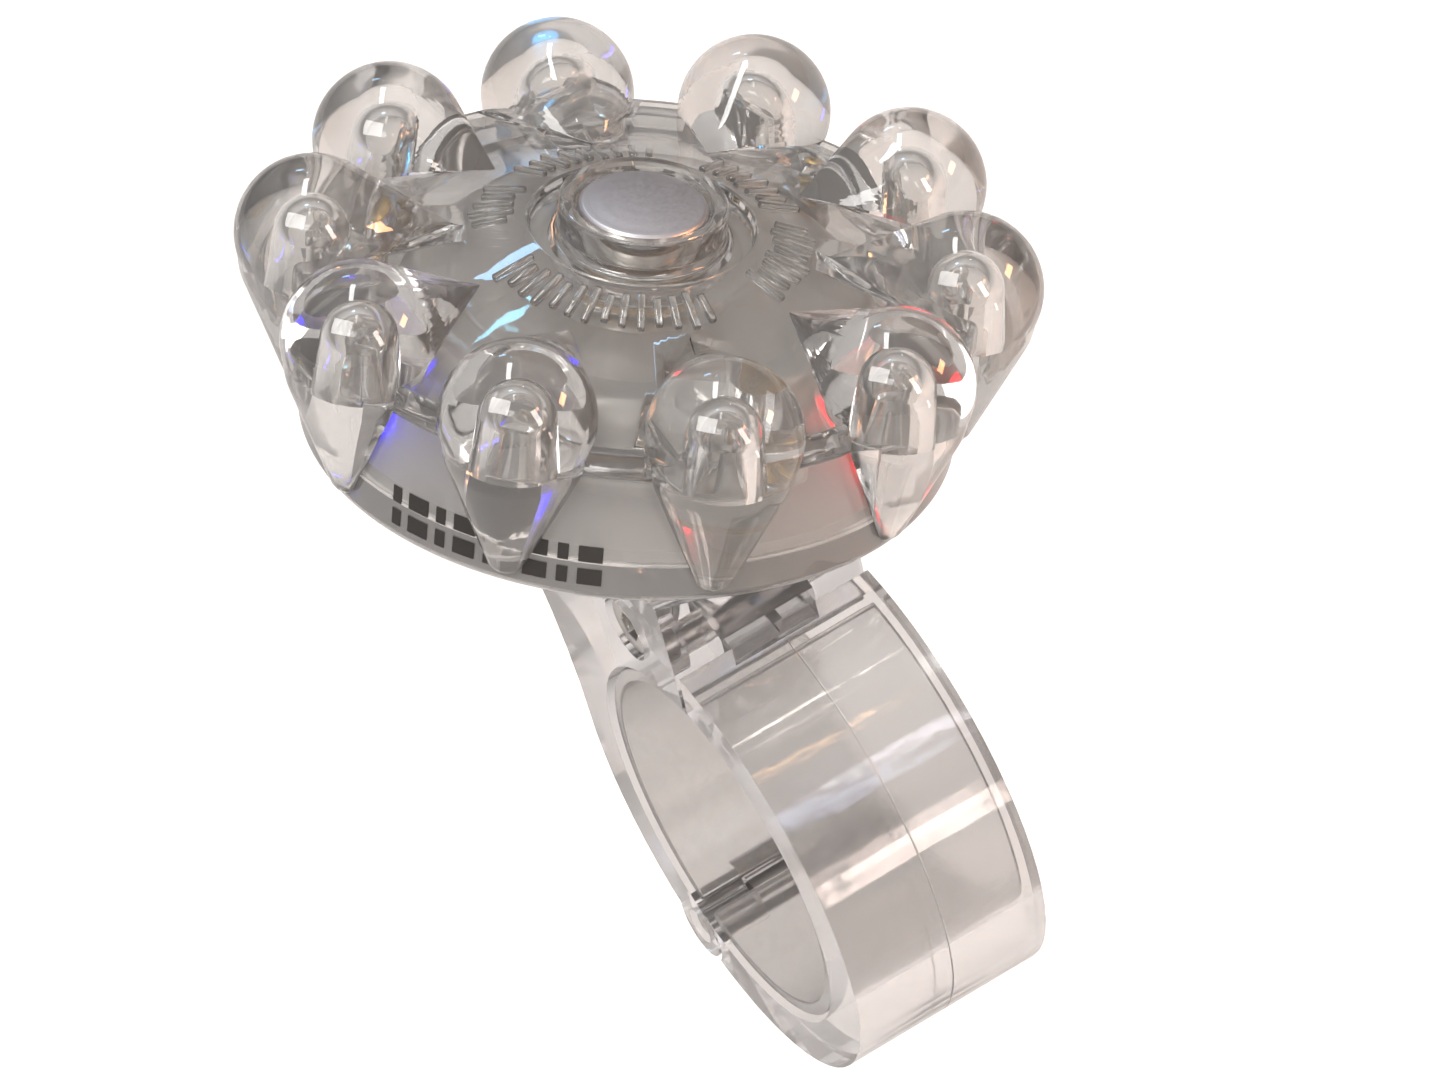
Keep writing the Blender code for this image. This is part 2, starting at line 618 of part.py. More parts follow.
def make_centre_cap():
    """Satin cap on the spindle's end, inside the collar of the rotating cap."""
    bore = SHAFT_R + SEAT_GAP
    boss = bore + (CAP_R - bore) / 3
    profile = [(0.0, CAP_TOP), (CAP_R - CAP_ROUND, CAP_TOP), (CAP_R, CAP_TOP - CAP_ROUND)]
    profile += [(CAP_R, CAP_LOW), (boss, CAP_LOW), (boss, CAP_BOSS_LOW), (bore, CAP_BOSS_LOW)]
    profile += [(bore, SHAFT_TOP + SEAT_GAP), (0.0, SHAFT_TOP + SEAT_GAP)]
    turned("centre_cap", profile, HEAD, metal("satin_silver", (0.66, 0.65, 0.65), 0.35), steps=32,
           closed=False)


# ---------------------------------------------------------------- light module

def make_cell_tray():
    tray = disc("cell_tray", TRAY_R, MODULE_LOW, MODULE_LOW + TRAY_HIGH, HEAD,
                make_material("tray_plastic", (0.75, 0.74, 0.72), 0.4), steps=40)
    cut(tray, disc("column_hole", COLUMN_R + SEAT_GAP, -CUT_PAST, COLUMN_TOP, HEAD))
    silver = metal("cell_steel", (0.72, 0.72, 0.70), 0.25)
    for number in range(CELL_COUNT):
        place = around(CELL_CIRCLE_R, 90.0 + number * 360.0 / CELL_COUNT)
        cut(tray, disc(f"cell_pocket_{number + 1}", CELL_POCKET_R, CELL_LOW - SEAT_GAP, COLUMN_TOP,
                       HEAD, at=place))
        disc(f"button_cell_{number + 1}", CELL_R, CELL_LOW, CELL_LOW + CELL_HIGH, HEAD, silver,
             at=place)


def make_contact_plate():
    ring("cell_contact", COLUMN_R + 2 * SEAT_GAP, TRAY_R - SEAT_GAP, CONTACT_LOW,
         CONTACT_LOW + CONTACT_THICK, HEAD, metal("contact_brass", BRASS, 0.3))


def make_light_board():
    ring("light_board", BOARD_INNER_R, BOARD_OUTER_R, MODULE_LOW, BOARD_TOP, HEAD,
         make_material("board_laminate", (0.70, 0.70, 0.68), 0.5), BIG_STEPS)
    low = BOARD_TOP + SEAT_GAP
    lens = make_material("led_lens", (0.95, 0.95, 0.92), 0.1, transmission=0.5)
    shoulder = low + LED_HIGH - LED_R
    profile = fillet((0.0, shoulder), LED_R, 90, 0) + [(LED_R, low), (0.0, low)]
    profile[0] = (0.0, low + LED_HIGH)
    for number, angle in enumerate(LED_ANGLES):
        place = around(LED_CIRCLE_R, angle)
        turned(f"led_{number + 1}", profile, HEAD, lens, steps=16, closed=False, at=place)
    box("motion_switch", SWITCH_SIZE, low, HEAD, metal("switch_can", BRASS, 0.3),
        at=around(LED_CIRCLE_R, SWITCH_ANGLE), turn=SWITCH_ANGLE)
    box("controller_chip", CHIP_SIZE, low, HEAD, make_material("chip_black", (0.02, 0.02, 0.02), 0.5),
        at=around(LED_CIRCLE_R, CHIP_ANGLE), turn=CHIP_ANGLE)


# ---------------------------------------------------------------- rotating cap

def shell_profile():
    """Collar, dish, cone and underside of the rotating cap, down its outer side."""
    (rim_r, rim_high), (foot_r, foot_high) = SHELL_TOP
    edge_r = ROTOR_R - SHELL_THICK
    hub_bore = BUSH_R + SEAT_GAP
    profile = [(COLLAR_R, COLLAR_TOP), (COLLAR_R, DISH_FLOOR), (rim_r - DISH_DRAFT, DISH_FLOOR)]
    profile += [(rim_r, rim_high), (foot_r, foot_high), (ROTOR_R, ROTOR_EDGE_TOP)]
    profile += [(ROTOR_R, ROTOR_LOW), (edge_r, ROTOR_LOW), (foot_r, foot_high - SHELL_THICK)]
    profile += [(COLLAR_R, foot_high - SHELL_THICK + HUB_RISE), (COLLAR_R - HUB_DRAFT, HUB_LOW)]
    profile += [(hub_bore, HUB_LOW), (hub_bore, DISH_FLOOR), (COLLAR_INNER_R, DISH_FLOOR)]
    profile += [(COLLAR_INNER_R, COLLAR_TOP)]
    return profile


def hull(bm):
    """Replaces a mesh by the convex hull of its points."""
    bmesh.ops.delete(bm, geom=bm.edges[:], context="EDGES_FACES")
    result = bmesh.ops.convex_hull(bm, input=bm.verts[:])
    inside = [item for item in result["geom_interior"] if isinstance(item, bmesh.types.BMVert)]
    bmesh.ops.delete(bm, geom=inside, context="VERTS")
    bmesh.ops.recalc_face_normals(bm, faces=bm.faces[:])
    return bm


def add_ball(bm, radius, centre, across=14, down=8):
    bmesh.ops.create_uvsphere(bm, u_segments=across, v_segments=down, radius=radius * MM,
                              matrix=Matrix.Translation([value * MM for value in centre]))


def leaf_shape():
    """A dome drawn out to a point towards the dish."""
    bm = bmesh.new()
    add_ball(bm, DOME_R, (DOME_CIRCLE_R, 0.0, DOME_HIGH))
    bm.verts.new((LEAF_TIP_R * MM, 0.0, LEAF_TIP_HIGH * MM))
    return hull(bm)


def tail_shape(clear_r):
    """A dome's blunt tail down the drum's side, which the cut for the drum makes thin."""
    bm = bmesh.new()
    add_ball(bm, SHOULDER_R, (DOME_CIRCLE_R, 0.0, SHOULDER_HIGH))
    end = (clear_r + TAIL_TIP_OUT - TAIL_END_R, 0.0, TAIL_TIP_LOW + TAIL_END_R)
    add_ball(bm, TAIL_END_R, end, across=10, down=6)
    return hull(bm)


def repeat_round(name, bm):
    """Copies a shape to every dome's place and keeps the copies in one mesh."""
    petal = mesh_from(bm, name + "_one")
    whole = bmesh.new()
    for number in range(DOME_COUNT):
        turn = Matrix.Rotation(math.radians(dome_angle(number)), 4, "Z")
        copy = petal.copy()
        copy.transform(turn)
        whole.from_mesh(copy)
        bpy.data.meshes.remove(copy)
    bpy.data.meshes.remove(petal)
    return new_object(name, mesh_from(whole, name), SPIN_AXIS)


def dome_pocket():
    """Blind round pocket in a dome, open underneath, with a round end."""
    bm = bmesh.new()
    top = ROTOR_LOW + POCKET_DEPTH
    low = ROTOR_LOW - SEAT_GAP
    straight = top - POCKET_R
    middle = Matrix.Translation((DOME_CIRCLE_R * MM, 0.0, (low + straight) / 2 * MM))
    bmesh.ops.create_cone(bm, cap_ends=True, segments=10, radius1=POCKET_R * MM,
                          radius2=POCKET_R * MM, depth=(straight - low) * MM, matrix=middle)
    add_ball(bm, POCKET_R, (DOME_CIRCLE_R, 0.0, straight), across=10, down=6)
    return hull(bm)


def make_rotor_cap():
    cap = turned("rotor_cap", shell_profile(), SPIN_AXIS, clear_plastic("clear_cap"), BIG_STEPS)
    clear_r = CUP_R + RUN_GAP
    tails = repeat_round("dome_tails", tail_shape(clear_r))
    join(cap, repeat_round("dome_leaves", leaf_shape()), tails)
    cut(cap, disc("drum_room", clear_r, -CUP_HIGH, ROTOR_LOW, SPIN_AXIS, steps=BIG_STEPS))
    cut(cap, repeat_round("dome_pockets", dome_pocket()))
    hole_top = striker_pin_top() + SEAT_GAP
    for number in range(STRIKER_COUNT):
        cut(cap, disc(f"striker_pin_hole_{number + 1}", STRIKER_PIN_R + SEAT_GAP, ROTOR_LOW - CUT_PAST,
                      hole_top, SPIN_AXIS, at=around(STRIKER_CIRCLE_R, striker_angle(number))))


def make_bush():
    ring("rotor_bush", BUSH_INNER_R, BUSH_R, HUB_LOW, DISH_FLOOR, SPIN_AXIS,
         metal("bush_bronze", (0.55, 0.38, 0.22), 0.4))


# ---------------------------------------------------------------- strikers

def striker_angle(number):
    return STRIKER_ANGLE + number * 360.0 / STRIKER_COUNT


def striker_pin_top():
    """Height of the pin's end inside the cap's shell."""
    foot_r, foot_high = SHELL_TOP[1]
    edge_r = ROTOR_R - SHELL_THICK
    share = (edge_r - STRIKER_CIRCLE_R) / (edge_r - foot_r)
    underside = ROTOR_LOW + share * (foot_high - SHELL_THICK - ROTOR_LOW)
    return underside + STRIKER_PIN_GRIP


def make_striker(number):
    place = around(STRIKER_CIRCLE_R, striker_angle(number))
    top = STRIKER_LOW + STRIKER_THICK
    head_low = STRIKER_LOW - SEAT_GAP
    head_foot = head_low - STRIKER_PIN_HEAD_HIGH
    pin = [(0.0, striker_pin_top()), (STRIKER_PIN_R, striker_pin_top()), (STRIKER_PIN_R, head_low)]
    pin += [(STRIKER_PIN_HEAD_R, head_low), (STRIKER_PIN_HEAD_R, head_foot), (0.0, head_foot)]
    turned(f"striker_pin_{number + 1}", pin, SPIN_AXIS, metal(f"pin_brass_{number + 1}", BRASS, 0.3),
           steps=16, closed=False, at=place)
    axis = new_empty(f"striker_axis_{number + 1}", (*place, 0.0), SPIN_AXIS, turn=striker_angle(number))
    striker = disc(f"striker_{number + 1}", STRIKER_HUB_R, STRIKER_LOW, top, axis,
                   metal(f"striker_steel_{number + 1}", STEEL, 0.25), steps=20)
    arm_size = (STRIKER_ARM_WIDTH, STRIKER_REACH, STRIKER_THICK - 2 * STRIKER_ARM_INSET)
    arm = box(f"striker_arm_{number + 1}", arm_size, STRIKER_LOW + STRIKER_ARM_INSET, axis,
              at=(0.0, STRIKER_REACH / 2))
    head = disc(f"striker_head_{number + 1}", STRIKER_HEAD_R, STRIKER_LOW, top, axis, steps=20,
                at=(0.0, STRIKER_REACH))
    join(striker, arm, head)
    cut(striker, disc(f"striker_hole_{number + 1}", STRIKER_PIN_R + RUN_GAP / 2, 0.0, CUP_HIGH, axis,
                      steps=16))


# ---------------------------------------------------------------- the whole bell

def main():
    make_saddle()
    make_strap()
    make_hinge_pin()
    make_liners()
    make_clamp_screw()
    make_base_cup()
    make_saddle_screws()
    make_spindle()
    make_gong()
    make_centre_cap()
    make_cell_tray()
    make_contact_plate()
    make_light_board()
    make_rotor_cap()
    make_bush()
    for number in range(STRIKER_COUNT):
        make_striker(number)


main()
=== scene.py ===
# %% [markdown]
# # A clear twist-top bell
#
# This bell clamps to a handlebar.  Nearly every piece is clear moulded plastic, so what the eye
# reads is edges, glints and whatever stands behind.  Thick walls, soft corners and a bright floor
# with darker surroundings matter more here than any painted colour.
#
# The imported model gives the places of all pieces.  Its box is kept.

# %% Load the frame
import json
import math

import bmesh
import bpy
from mathutils import Matrix, Vector


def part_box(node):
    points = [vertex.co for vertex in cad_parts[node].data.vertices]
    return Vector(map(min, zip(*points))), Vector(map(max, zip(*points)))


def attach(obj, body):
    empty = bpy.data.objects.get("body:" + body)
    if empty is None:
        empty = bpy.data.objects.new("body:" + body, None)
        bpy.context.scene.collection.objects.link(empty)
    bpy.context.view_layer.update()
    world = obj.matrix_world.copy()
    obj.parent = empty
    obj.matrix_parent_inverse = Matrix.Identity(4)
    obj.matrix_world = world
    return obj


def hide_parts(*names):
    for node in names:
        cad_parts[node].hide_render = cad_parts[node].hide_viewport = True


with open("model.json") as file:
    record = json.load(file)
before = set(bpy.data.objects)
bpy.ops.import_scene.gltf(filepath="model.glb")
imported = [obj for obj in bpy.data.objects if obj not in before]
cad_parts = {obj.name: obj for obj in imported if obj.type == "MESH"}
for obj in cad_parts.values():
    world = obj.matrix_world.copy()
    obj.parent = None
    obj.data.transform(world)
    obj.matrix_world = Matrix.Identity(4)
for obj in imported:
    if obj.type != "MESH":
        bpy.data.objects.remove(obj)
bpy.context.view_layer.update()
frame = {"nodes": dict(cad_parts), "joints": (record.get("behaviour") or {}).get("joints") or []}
nodes = frame["nodes"]
joints = {joint["name"]: joint for joint in frame["joints"]}
MM = 0.001

# %% [markdown]
# ## Two frames of reference
#
# The clamp is modelled round the bar, in the model's own frame.  The head leans.  Its pieces could be
# turned round the leaning axis, but it is easier to model them upright round Z and then to stand them
# on the spin axis.  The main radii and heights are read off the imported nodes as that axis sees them,
# so that the fine pieces fit the ones they stand for.

# %% The head's frame, and a way to measure in it
spin = joints["cap_spin"]
spin_axis = Vector(spin["axis"])
lean = math.atan2(spin_axis.x, spin_axis.z)
HEAD = Matrix.Translation(spin["pos_m"]) @ Matrix.Rotation(lean, 4, "Y")


def seen_from_axis(node, within=100.0):
    """Inner radius, outer radius, low and high of a head node in mm, as far out as within."""
    inverse = HEAD.inverted()
    points = [inverse @ vertex.co / MM for vertex in nodes[node].data.vertices]
    points = [point for point in points if point.xy.length < within]
    radii = [point.xy.length for point in points]
    heights = [point.z for point in points]
    return min(radii), max(radii), min(heights), max(heights)


cup_bore, cup_r, _, cup_top = seen_from_axis("base_cup")
collar_top = seen_from_axis("rotor_cap", within=6.0)[3]
print(f"lean {math.degrees(lean):.1f} degrees, drum radius {cup_r:.2f} mm")

# %% [markdown]
# ## The camera
#
# A long lens from above the left end of the bar, rolled so that the head leans to the left of the
# clamp.  A small object seen from 0.6 m has almost no perspective, so its ellipses stay true.

# %% Camera
aim = Vector((2.85, 10.41, 12.04)) * MM     # the point in the middle of the frame
view_right = Vector((0.836, -0.508, -0.207)).normalized()
view_back = Vector((-0.26, -0.699, 0.666)).normalized()
view_up = view_back.cross(view_right).normalized()
view_right = view_up.cross(view_back).normalized()
camera_distance = 0.6
camera_width = 88.65 * MM                   # what the frame spans at the aim

camera_data = bpy.data.cameras.new("camera")
camera_data.sensor_width = 36.0
camera_data.lens = camera_data.sensor_width * camera_distance / camera_width
camera_data.clip_start = 0.01
camera_data.clip_end = 20.0
camera = bpy.data.objects.new("camera", camera_data)
bpy.context.scene.collection.objects.link(camera)
turn = Matrix((view_right, view_up, view_back)).transposed().to_4x4()
camera.matrix_world = Matrix.Translation(aim + view_back * camera_distance) @ turn
bpy.context.scene.camera = camera
print("lens", round(camera_data.lens, 1), "mm")

# %% [markdown]
# ## Nodes and colours
#
# Colours are written as sRGB hex values, as a colour picker shows them, and turned to linear light.
# One small function adds a shader node with its settings and its links.


# %% Colour and node helpers
def linear(hex_colour):
    """An sRGB hex colour as linear red, green, blue and alpha."""
    channels = [int(hex_colour[i:i + 2], 16) / 255 for i in (1, 3, 5)]
    return tuple(c / 12.92 if c <= 0.04045 else ((c + 0.055) / 1.055) ** 2.4 for c in channels) + (1.0,)


def add_node(tree, kind, inputs=None, **settings):
    """A node with its settings; an input is a value or another node's output."""
    new = tree.nodes.new(kind)
    for name, value in settings.items():
        setattr(new, name, value)
    for socket, value in (inputs or {}).items():
        if isinstance(value, bpy.types.NodeSocket):
            tree.links.new(value, new.inputs[socket])
        else:
            new.inputs[socket].default_value = value
    return new


def start_material(name):
    """An empty node material with an output, and its tree."""
    material = bpy.data.materials.new(name)
    material.use_nodes = True
    material.node_tree.nodes.clear()
    return material, material.node_tree


def per_mm(size_mm):
    """Texture scale that makes one period of a pattern this many millimetres long."""
    return 1.0 / (size_mm * MM)


# %% [markdown]
# ## Clear plastic
#
# Clear polycarbonate bends light strongly (IOR 1.585) and always carries a faint smoky tint.  A real
# moulding isn't optically flat either: it has slow waves from the mould and fine rub marks, which
# break the long highlights.  The tint is in the base colour, the waves are in the bump and the rub
# marks in the roughness.  A glass shader could stand for it, but the principled one also takes a
# small share of haze, which keeps the thick walls from going black inside.


# %% Clear moulded plastics
clear_ior = 1.585       # polycarbonate; soft vinyl is close to it
flow_mm = 9.0           # how the plastic ran through the mould, as slow changes of tint
rub_mm = 0.7            # real rub marks are finer, but wouldn't show
wave_deep_mm = 0.25


def clear_plastic(name, tint, shade, haze, wave_mm, rough_low, rough_high):
    """Moulded clear plastic: tint and shade are its two colours, haze the share that isn't clear."""
    material, tree = start_material(name)
    place = add_node(tree, "ShaderNodeTexCoord").outputs["Object"]
    flow = add_node(tree, "ShaderNodeTexNoise", {"Vector": place, "Scale": per_mm(flow_mm), "Detail": 2.0})
    colour = add_node(tree, "ShaderNodeMix", {0: flow.outputs["Fac"], 6: linear(tint), 7: linear(shade)},
                      data_type="RGBA")
    waves = add_node(tree, "ShaderNodeTexNoise", {"Vector": place, "Scale": per_mm(wave_mm),
                                                  "Detail": 1.5})
    bump = add_node(tree, "ShaderNodeBump", {"Height": waves.outputs["Fac"], "Strength": 0.05,
                                             "Distance": wave_deep_mm * MM})
    rubs = add_node(tree, "ShaderNodeTexNoise", {"Vector": place, "Scale": per_mm(rub_mm), "Detail": 4.0})
    rough = add_node(tree, "ShaderNodeMapRange", {"Value": rubs.outputs["Fac"], "From Min": 0.35,
                                                  "From Max": 0.75, "To Min": rough_low,
                                                  "To Max": rough_high})
    shader = add_node(tree, "ShaderNodeBsdfPrincipled", {
        "Base Color": colour.outputs[2], "Roughness": rough.outputs["Result"], "IOR": clear_ior,
        "Transmission Weight": 1.0 - haze, "Normal": bump.outputs["Normal"]})
    add_node(tree, "ShaderNodeOutputMaterial", {"Surface": shader.outputs["BSDF"]})
    return material


polished_polycarbonate = clear_plastic("polished_polycarbonate", "#efeeec", "#eae9e7",
                                       haze=0.08, wave_mm=2.6, rough_low=0.012, rough_high=0.05)
drum_polycarbonate = clear_plastic("drum_polycarbonate", "#f1f0ee", "#eae9e7",
                                   haze=0.20, wave_mm=3.4, rough_low=0.03, rough_high=0.10)
strap_polycarbonate = clear_plastic("strap_polycarbonate", "#f0f0f0", "#ebebec",
                                    haze=0.07, wave_mm=3.0, rough_low=0.03, rough_high=0.10)
liner_vinyl = clear_plastic("liner_vinyl", "#efefee", "#e9e9e8",
                            haze=0.10, wave_mm=2.0, rough_low=0.12, rough_high=0.25)
print("clear plastics ready")

# %% [markdown]
# ## Metals
#
# Metal has no colour under its shine: the base colour is the colour of the reflection.  Turned pieces
# carry fine rings round their axis, and a satin face has a fine even grain.  The rings are too shallow
# to be worth cutting in a mesh, so a wave texture draws them as bump.  It draws one ring every
# pi / 10 of its own units.


# %% Metals
wave_period = math.pi / 10
grain_mm = 0.25
ring_deep_mm = 0.03


def turned_metal(name, colour, ring_mm, rough, strength):
    """Metal with the fine rings that a lathe leaves, round the head's axis."""
    material, tree = start_material(name)
    place = add_node(tree, "ShaderNodeTexCoord").outputs["Object"]
    inverse = HEAD.inverted()
    turned_place = add_node(tree, "ShaderNodeMapping", {
        "Vector": place, "Location": inverse.to_translation(), "Rotation": inverse.to_euler()})
    rings = add_node(tree, "ShaderNodeTexWave", {"Vector": turned_place.outputs["Vector"],
                                                 "Scale": per_mm(ring_mm) * wave_period,
                                                 "Distortion": 0.4, "Detail": 1.0},
                     wave_type="RINGS", rings_direction="Z")
    grain = add_node(tree, "ShaderNodeTexNoise", {"Vector": place, "Scale": per_mm(grain_mm), "Detail": 3.0})
    mixed = add_node(tree, "ShaderNodeMath", {0: rings.outputs["Fac"], 1: grain.outputs["Fac"]},
                     operation="ADD")
    bump = add_node(tree, "ShaderNodeBump", {"Height": mixed.outputs[0], "Strength": strength,
                                             "Distance": ring_deep_mm * MM})
    roughness = add_node(tree, "ShaderNodeMapRange", {"Value": grain.outputs["Fac"], "To Min": rough * 0.7,
                                                      "To Max": rough * 1.4})
    shader = add_node(tree, "ShaderNodeBsdfPrincipled", {
        "Base Color": linear(colour), "Metallic": 1.0, "Roughness": roughness.outputs["Result"],
        "Normal": bump.outputs["Normal"]})
    add_node(tree, "ShaderNodeOutputMaterial", {"Surface": shader.outputs["BSDF"]})
    return material


satin_silver = turned_metal("satin_silver_face", "#c9c6ca", ring_mm=1.0, rough=0.38, strength=0.10)
polished_silver = turned_metal("polished_silver_rim", "#d6d3d4", ring_mm=2.4, rough=0.12, strength=0.03)
gong_steel = turned_metal("turned_gong_steel", "#d8d4d0", ring_mm=1.2, rough=0.36, strength=0.05)
stainless = turned_metal("stainless_steel", "#b4b1ad", ring_mm=0.8, rough=0.30, strength=0.15)
nickel_plate = turned_metal("nickel_plate", "#c7c5bf", ring_mm=1.6, rough=0.22, strength=0.10)
machined_brass = turned_metal("machined_brass", "#c8a45a", ring_mm=0.8, rough=0.28, strength=0.15)
sintered_bronze = turned_metal("sintered_bronze", "#8f6a45", ring_mm=0.6, rough=0.45, strength=0.30)
print("metals ready")

# %% [markdown]
# ## Opaque plastics and the light module's finishes
#
# Moulded parts that don't show polish have a spark-eroded grain: a fine even bump that widens the
# highlight.  The circuit board is white solder resist over glass cloth, the chip is black epoxy and
# the printed marks are black ink, which is matt and never quite black.


# %% Grained plastics
cloud_mm = 4.0
spark_deep_mm = 0.05


def grained_plastic(name, light, dark, spark_mm, rough, strength=0.2):
    """Opaque plastic with a fine even grain, in two close colours that drift into each other."""
    material, tree = start_material(name)
    place = add_node(tree, "ShaderNodeTexCoord").outputs["Object"]
    cloud = add_node(tree, "ShaderNodeTexNoise", {"Vector": place, "Scale": per_mm(cloud_mm), "Detail": 3.0})
    colour = add_node(tree, "ShaderNodeMix", {0: cloud.outputs["Fac"], 6: linear(light), 7: linear(dark)},
                      data_type="RGBA")
    grain = add_node(tree, "ShaderNodeTexNoise", {"Vector": place, "Scale": per_mm(spark_mm)})
    bump = add_node(tree, "ShaderNodeBump", {"Height": grain.outputs["Fac"], "Strength": strength,
                                             "Distance": spark_deep_mm * MM})
    shader = add_node(tree, "ShaderNodeBsdfPrincipled", {
        "Base Color": colour.outputs[2], "Roughness": rough, "Normal": bump.outputs["Normal"]})
    add_node(tree, "ShaderNodeOutputMaterial", {"Surface": shader.outputs["BSDF"]})
    return material


white_nylon = grained_plastic("white_nylon", "#e4e3de", "#d5d3cd", 0.3, 0.45)
tray_plastic = grained_plastic("tray_plastic", "#cfccc7", "#bdbab5", 0.3, 0.5)
# The neck's dark grey is painted shade under the silver plate.
neck_plastic_painted_shade = grained_plastic("neck_plastic_painted_shade", "#8b8580", "#7c7671", 0.3, 0.5)
chip_epoxy = grained_plastic("chip_epoxy", "#1b1b1d", "#101012", 0.15, 0.45)
# Dark paint for the strap's end faces at the split: painted shade for the gap between strap and saddle.
split_shade_paint = grained_plastic("painted_split_shade", "#4a4743", "#35322f", 0.3, 0.6, 0.3)
black_ink = grained_plastic("black_ink", "#2b2826", "#37332f", 0.2, 0.55, 0.1)
solder_resist = grained_plastic("white_solder_resist", "#d9d8d3", "#cbc9c4", 0.5, 0.35)
print("opaque plastics ready")

# %% [markdown]
# A light emitting diode's lens is clear epoxy, coloured and lit from inside.  A lamp in each lens
# could light it, but so small a lamp makes a noisy picture, so the lens itself glows.  Layer Weight
# tells the middle of the lens from its edge, and the glow follows it.


# %% LED lenses that glow
edge_glow = 0.35        # of the glow in the middle


def glowing_lens(name, colour, strength):
    """Clear epoxy lit from inside: brighter in the middle of the lens than at its edge."""
    material, tree = start_material(name)
    edge = add_node(tree, "ShaderNodeLayerWeight", {"Blend": 0.35})
    glow = add_node(tree, "ShaderNodeMapRange", {"Value": edge.outputs["Facing"], "To Min": strength,
                                                 "To Max": strength * edge_glow})
    shader = add_node(tree, "ShaderNodeBsdfPrincipled", {
        "Base Color": linear(colour), "Roughness": 0.12, "Transmission Weight": 0.3,
        "Emission Color": linear(colour), "Emission Strength": glow.outputs["Result"]})
    add_node(tree, "ShaderNodeOutputMaterial", {"Surface": shader.outputs["BSDF"]})
    return material


led_glows = (glowing_lens("led_violet_blue", "#4a3cf0", 3.0),
             glowing_lens("led_red", "#ff1f40", 2.5),
             glowing_lens("led_ice_blue", "#7fd4ff", 2.0))
print("lenses", [material.name for material in led_glows])

# %% [markdown]
# ## Floor, world and lights
#
# The bell hangs on its bar, so the floor lies well below it and only serves as a pale ground.  Clear
# plastic shows its surroundings, so the world has a bright sky, a darker horizon and a few coloured
# windows: the dark band draws the edges, and the windows give the small coloured glints.

# %% Floor
floor_drop = 75 * MM
bpy.ops.object.select_all(action="DESELECT")
bpy.ops.mesh.primitive_plane_add(size=8.0, location=(0.0, 0.0, -floor_drop))
floor = bpy.context.object
floor.name = "floor"
material, tree = start_material("pale_floor")
place = add_node(tree, "ShaderNodeTexCoord").outputs["Object"]
mottle = add_node(tree, "ShaderNodeTexNoise", {"Vector": place, "Scale": 3.0, "Detail": 3.0})
paper = add_node(tree, "ShaderNodeMix", {0: mottle.outputs["Fac"], 6: linear("#fbfaf9"),
                                         7: linear("#f7f6f5")}, data_type="RGBA")
direct = add_node(tree, "ShaderNodeLightPath").outputs["Is Camera Ray"]
seen_paper = add_node(tree, "ShaderNodeMix", {0: direct, 6: linear("#eeedec"), 7: paper.outputs[2]},
                      data_type="RGBA")
glow = add_node(tree, "ShaderNodeMath", {0: direct, 1: 0.3}, operation="MULTIPLY")
shader = add_node(tree, "ShaderNodeBsdfPrincipled", {"Base Color": seen_paper.outputs[2],
                                                     "Roughness": 0.9,
                                                     "Emission Color": linear("#ffffff"),
                                                     "Emission Strength": glow.outputs[0]})
add_node(tree, "ShaderNodeOutputMaterial", {"Surface": shader.outputs["BSDF"]})
floor.data.materials.append(material)
print("floor", floor_drop / MM, "mm below the bar")

# %% [markdown]
# The world is only seen by way of the plastic.  Its ramp runs from the horizon up to the zenith, and
# the camera itself sees plain pale paper instead.

# %% World
world = bpy.data.worlds.new("studio")
bpy.context.scene.world = world
world.use_nodes = True
tree = world.node_tree
tree.nodes.clear()
direction = add_node(tree, "ShaderNodeTexCoord").outputs["Generated"]
height = add_node(tree, "ShaderNodeSeparateXYZ", {"Vector": direction}).outputs["Z"]
sky = add_node(tree, "ShaderNodeValToRGB", {"Fac": height})
sky.color_ramp.elements[0].position = 0.0
sky.color_ramp.elements[0].color = linear("#8f8b88")
sky.color_ramp.elements[1].position = 0.95
sky.color_ramp.elements[1].color = linear("#e9e6e4")
for position, colour in ((0.12, "#7a7674"), (0.35, "#a8a3a0"), (0.6, "#c9c5c3")):
    sky.color_ramp.elements.new(position).color = linear(colour)
seen = add_node(tree, "ShaderNodeLightPath").outputs["Is Camera Ray"]
pale = add_node(tree, "ShaderNodeMix", {0: seen, 6: sky.outputs["Color"], 7: linear("#f4f3f2")},
                data_type="RGBA")
backdrop = add_node(tree, "ShaderNodeBackground", {"Color": pale.outputs[2], "Strength": 1.0})
add_node(tree, "ShaderNodeOutputWorld", {"Surface": backdrop.outputs["Background"]})
print("world ramp of", len(sky.color_ramp.elements), "colours")

# %% [markdown]
# The lights are soft rectangles round the head, named for what they stand for in a room.


# %% Lights
def area_light(name, toward, distance, size, colour, watts):
    """A rectangular soft light that looks at the head from a direction, unseen by the camera."""
    data = bpy.data.lights.new(name, "AREA")
    data.shape = "RECTANGLE"
    data.size, data.size_y = size
    data.color = linear(colour)[:3]
    data.energy = watts
    light = bpy.data.objects.new(name, data)
    bpy.context.scene.collection.objects.link(light)
    away = Vector(toward).normalized()
    light.location = head_middle + away * distance
    light.rotation_euler = away.to_track_quat("Z", "Y").to_euler()
    light.visible_camera = False
    return light


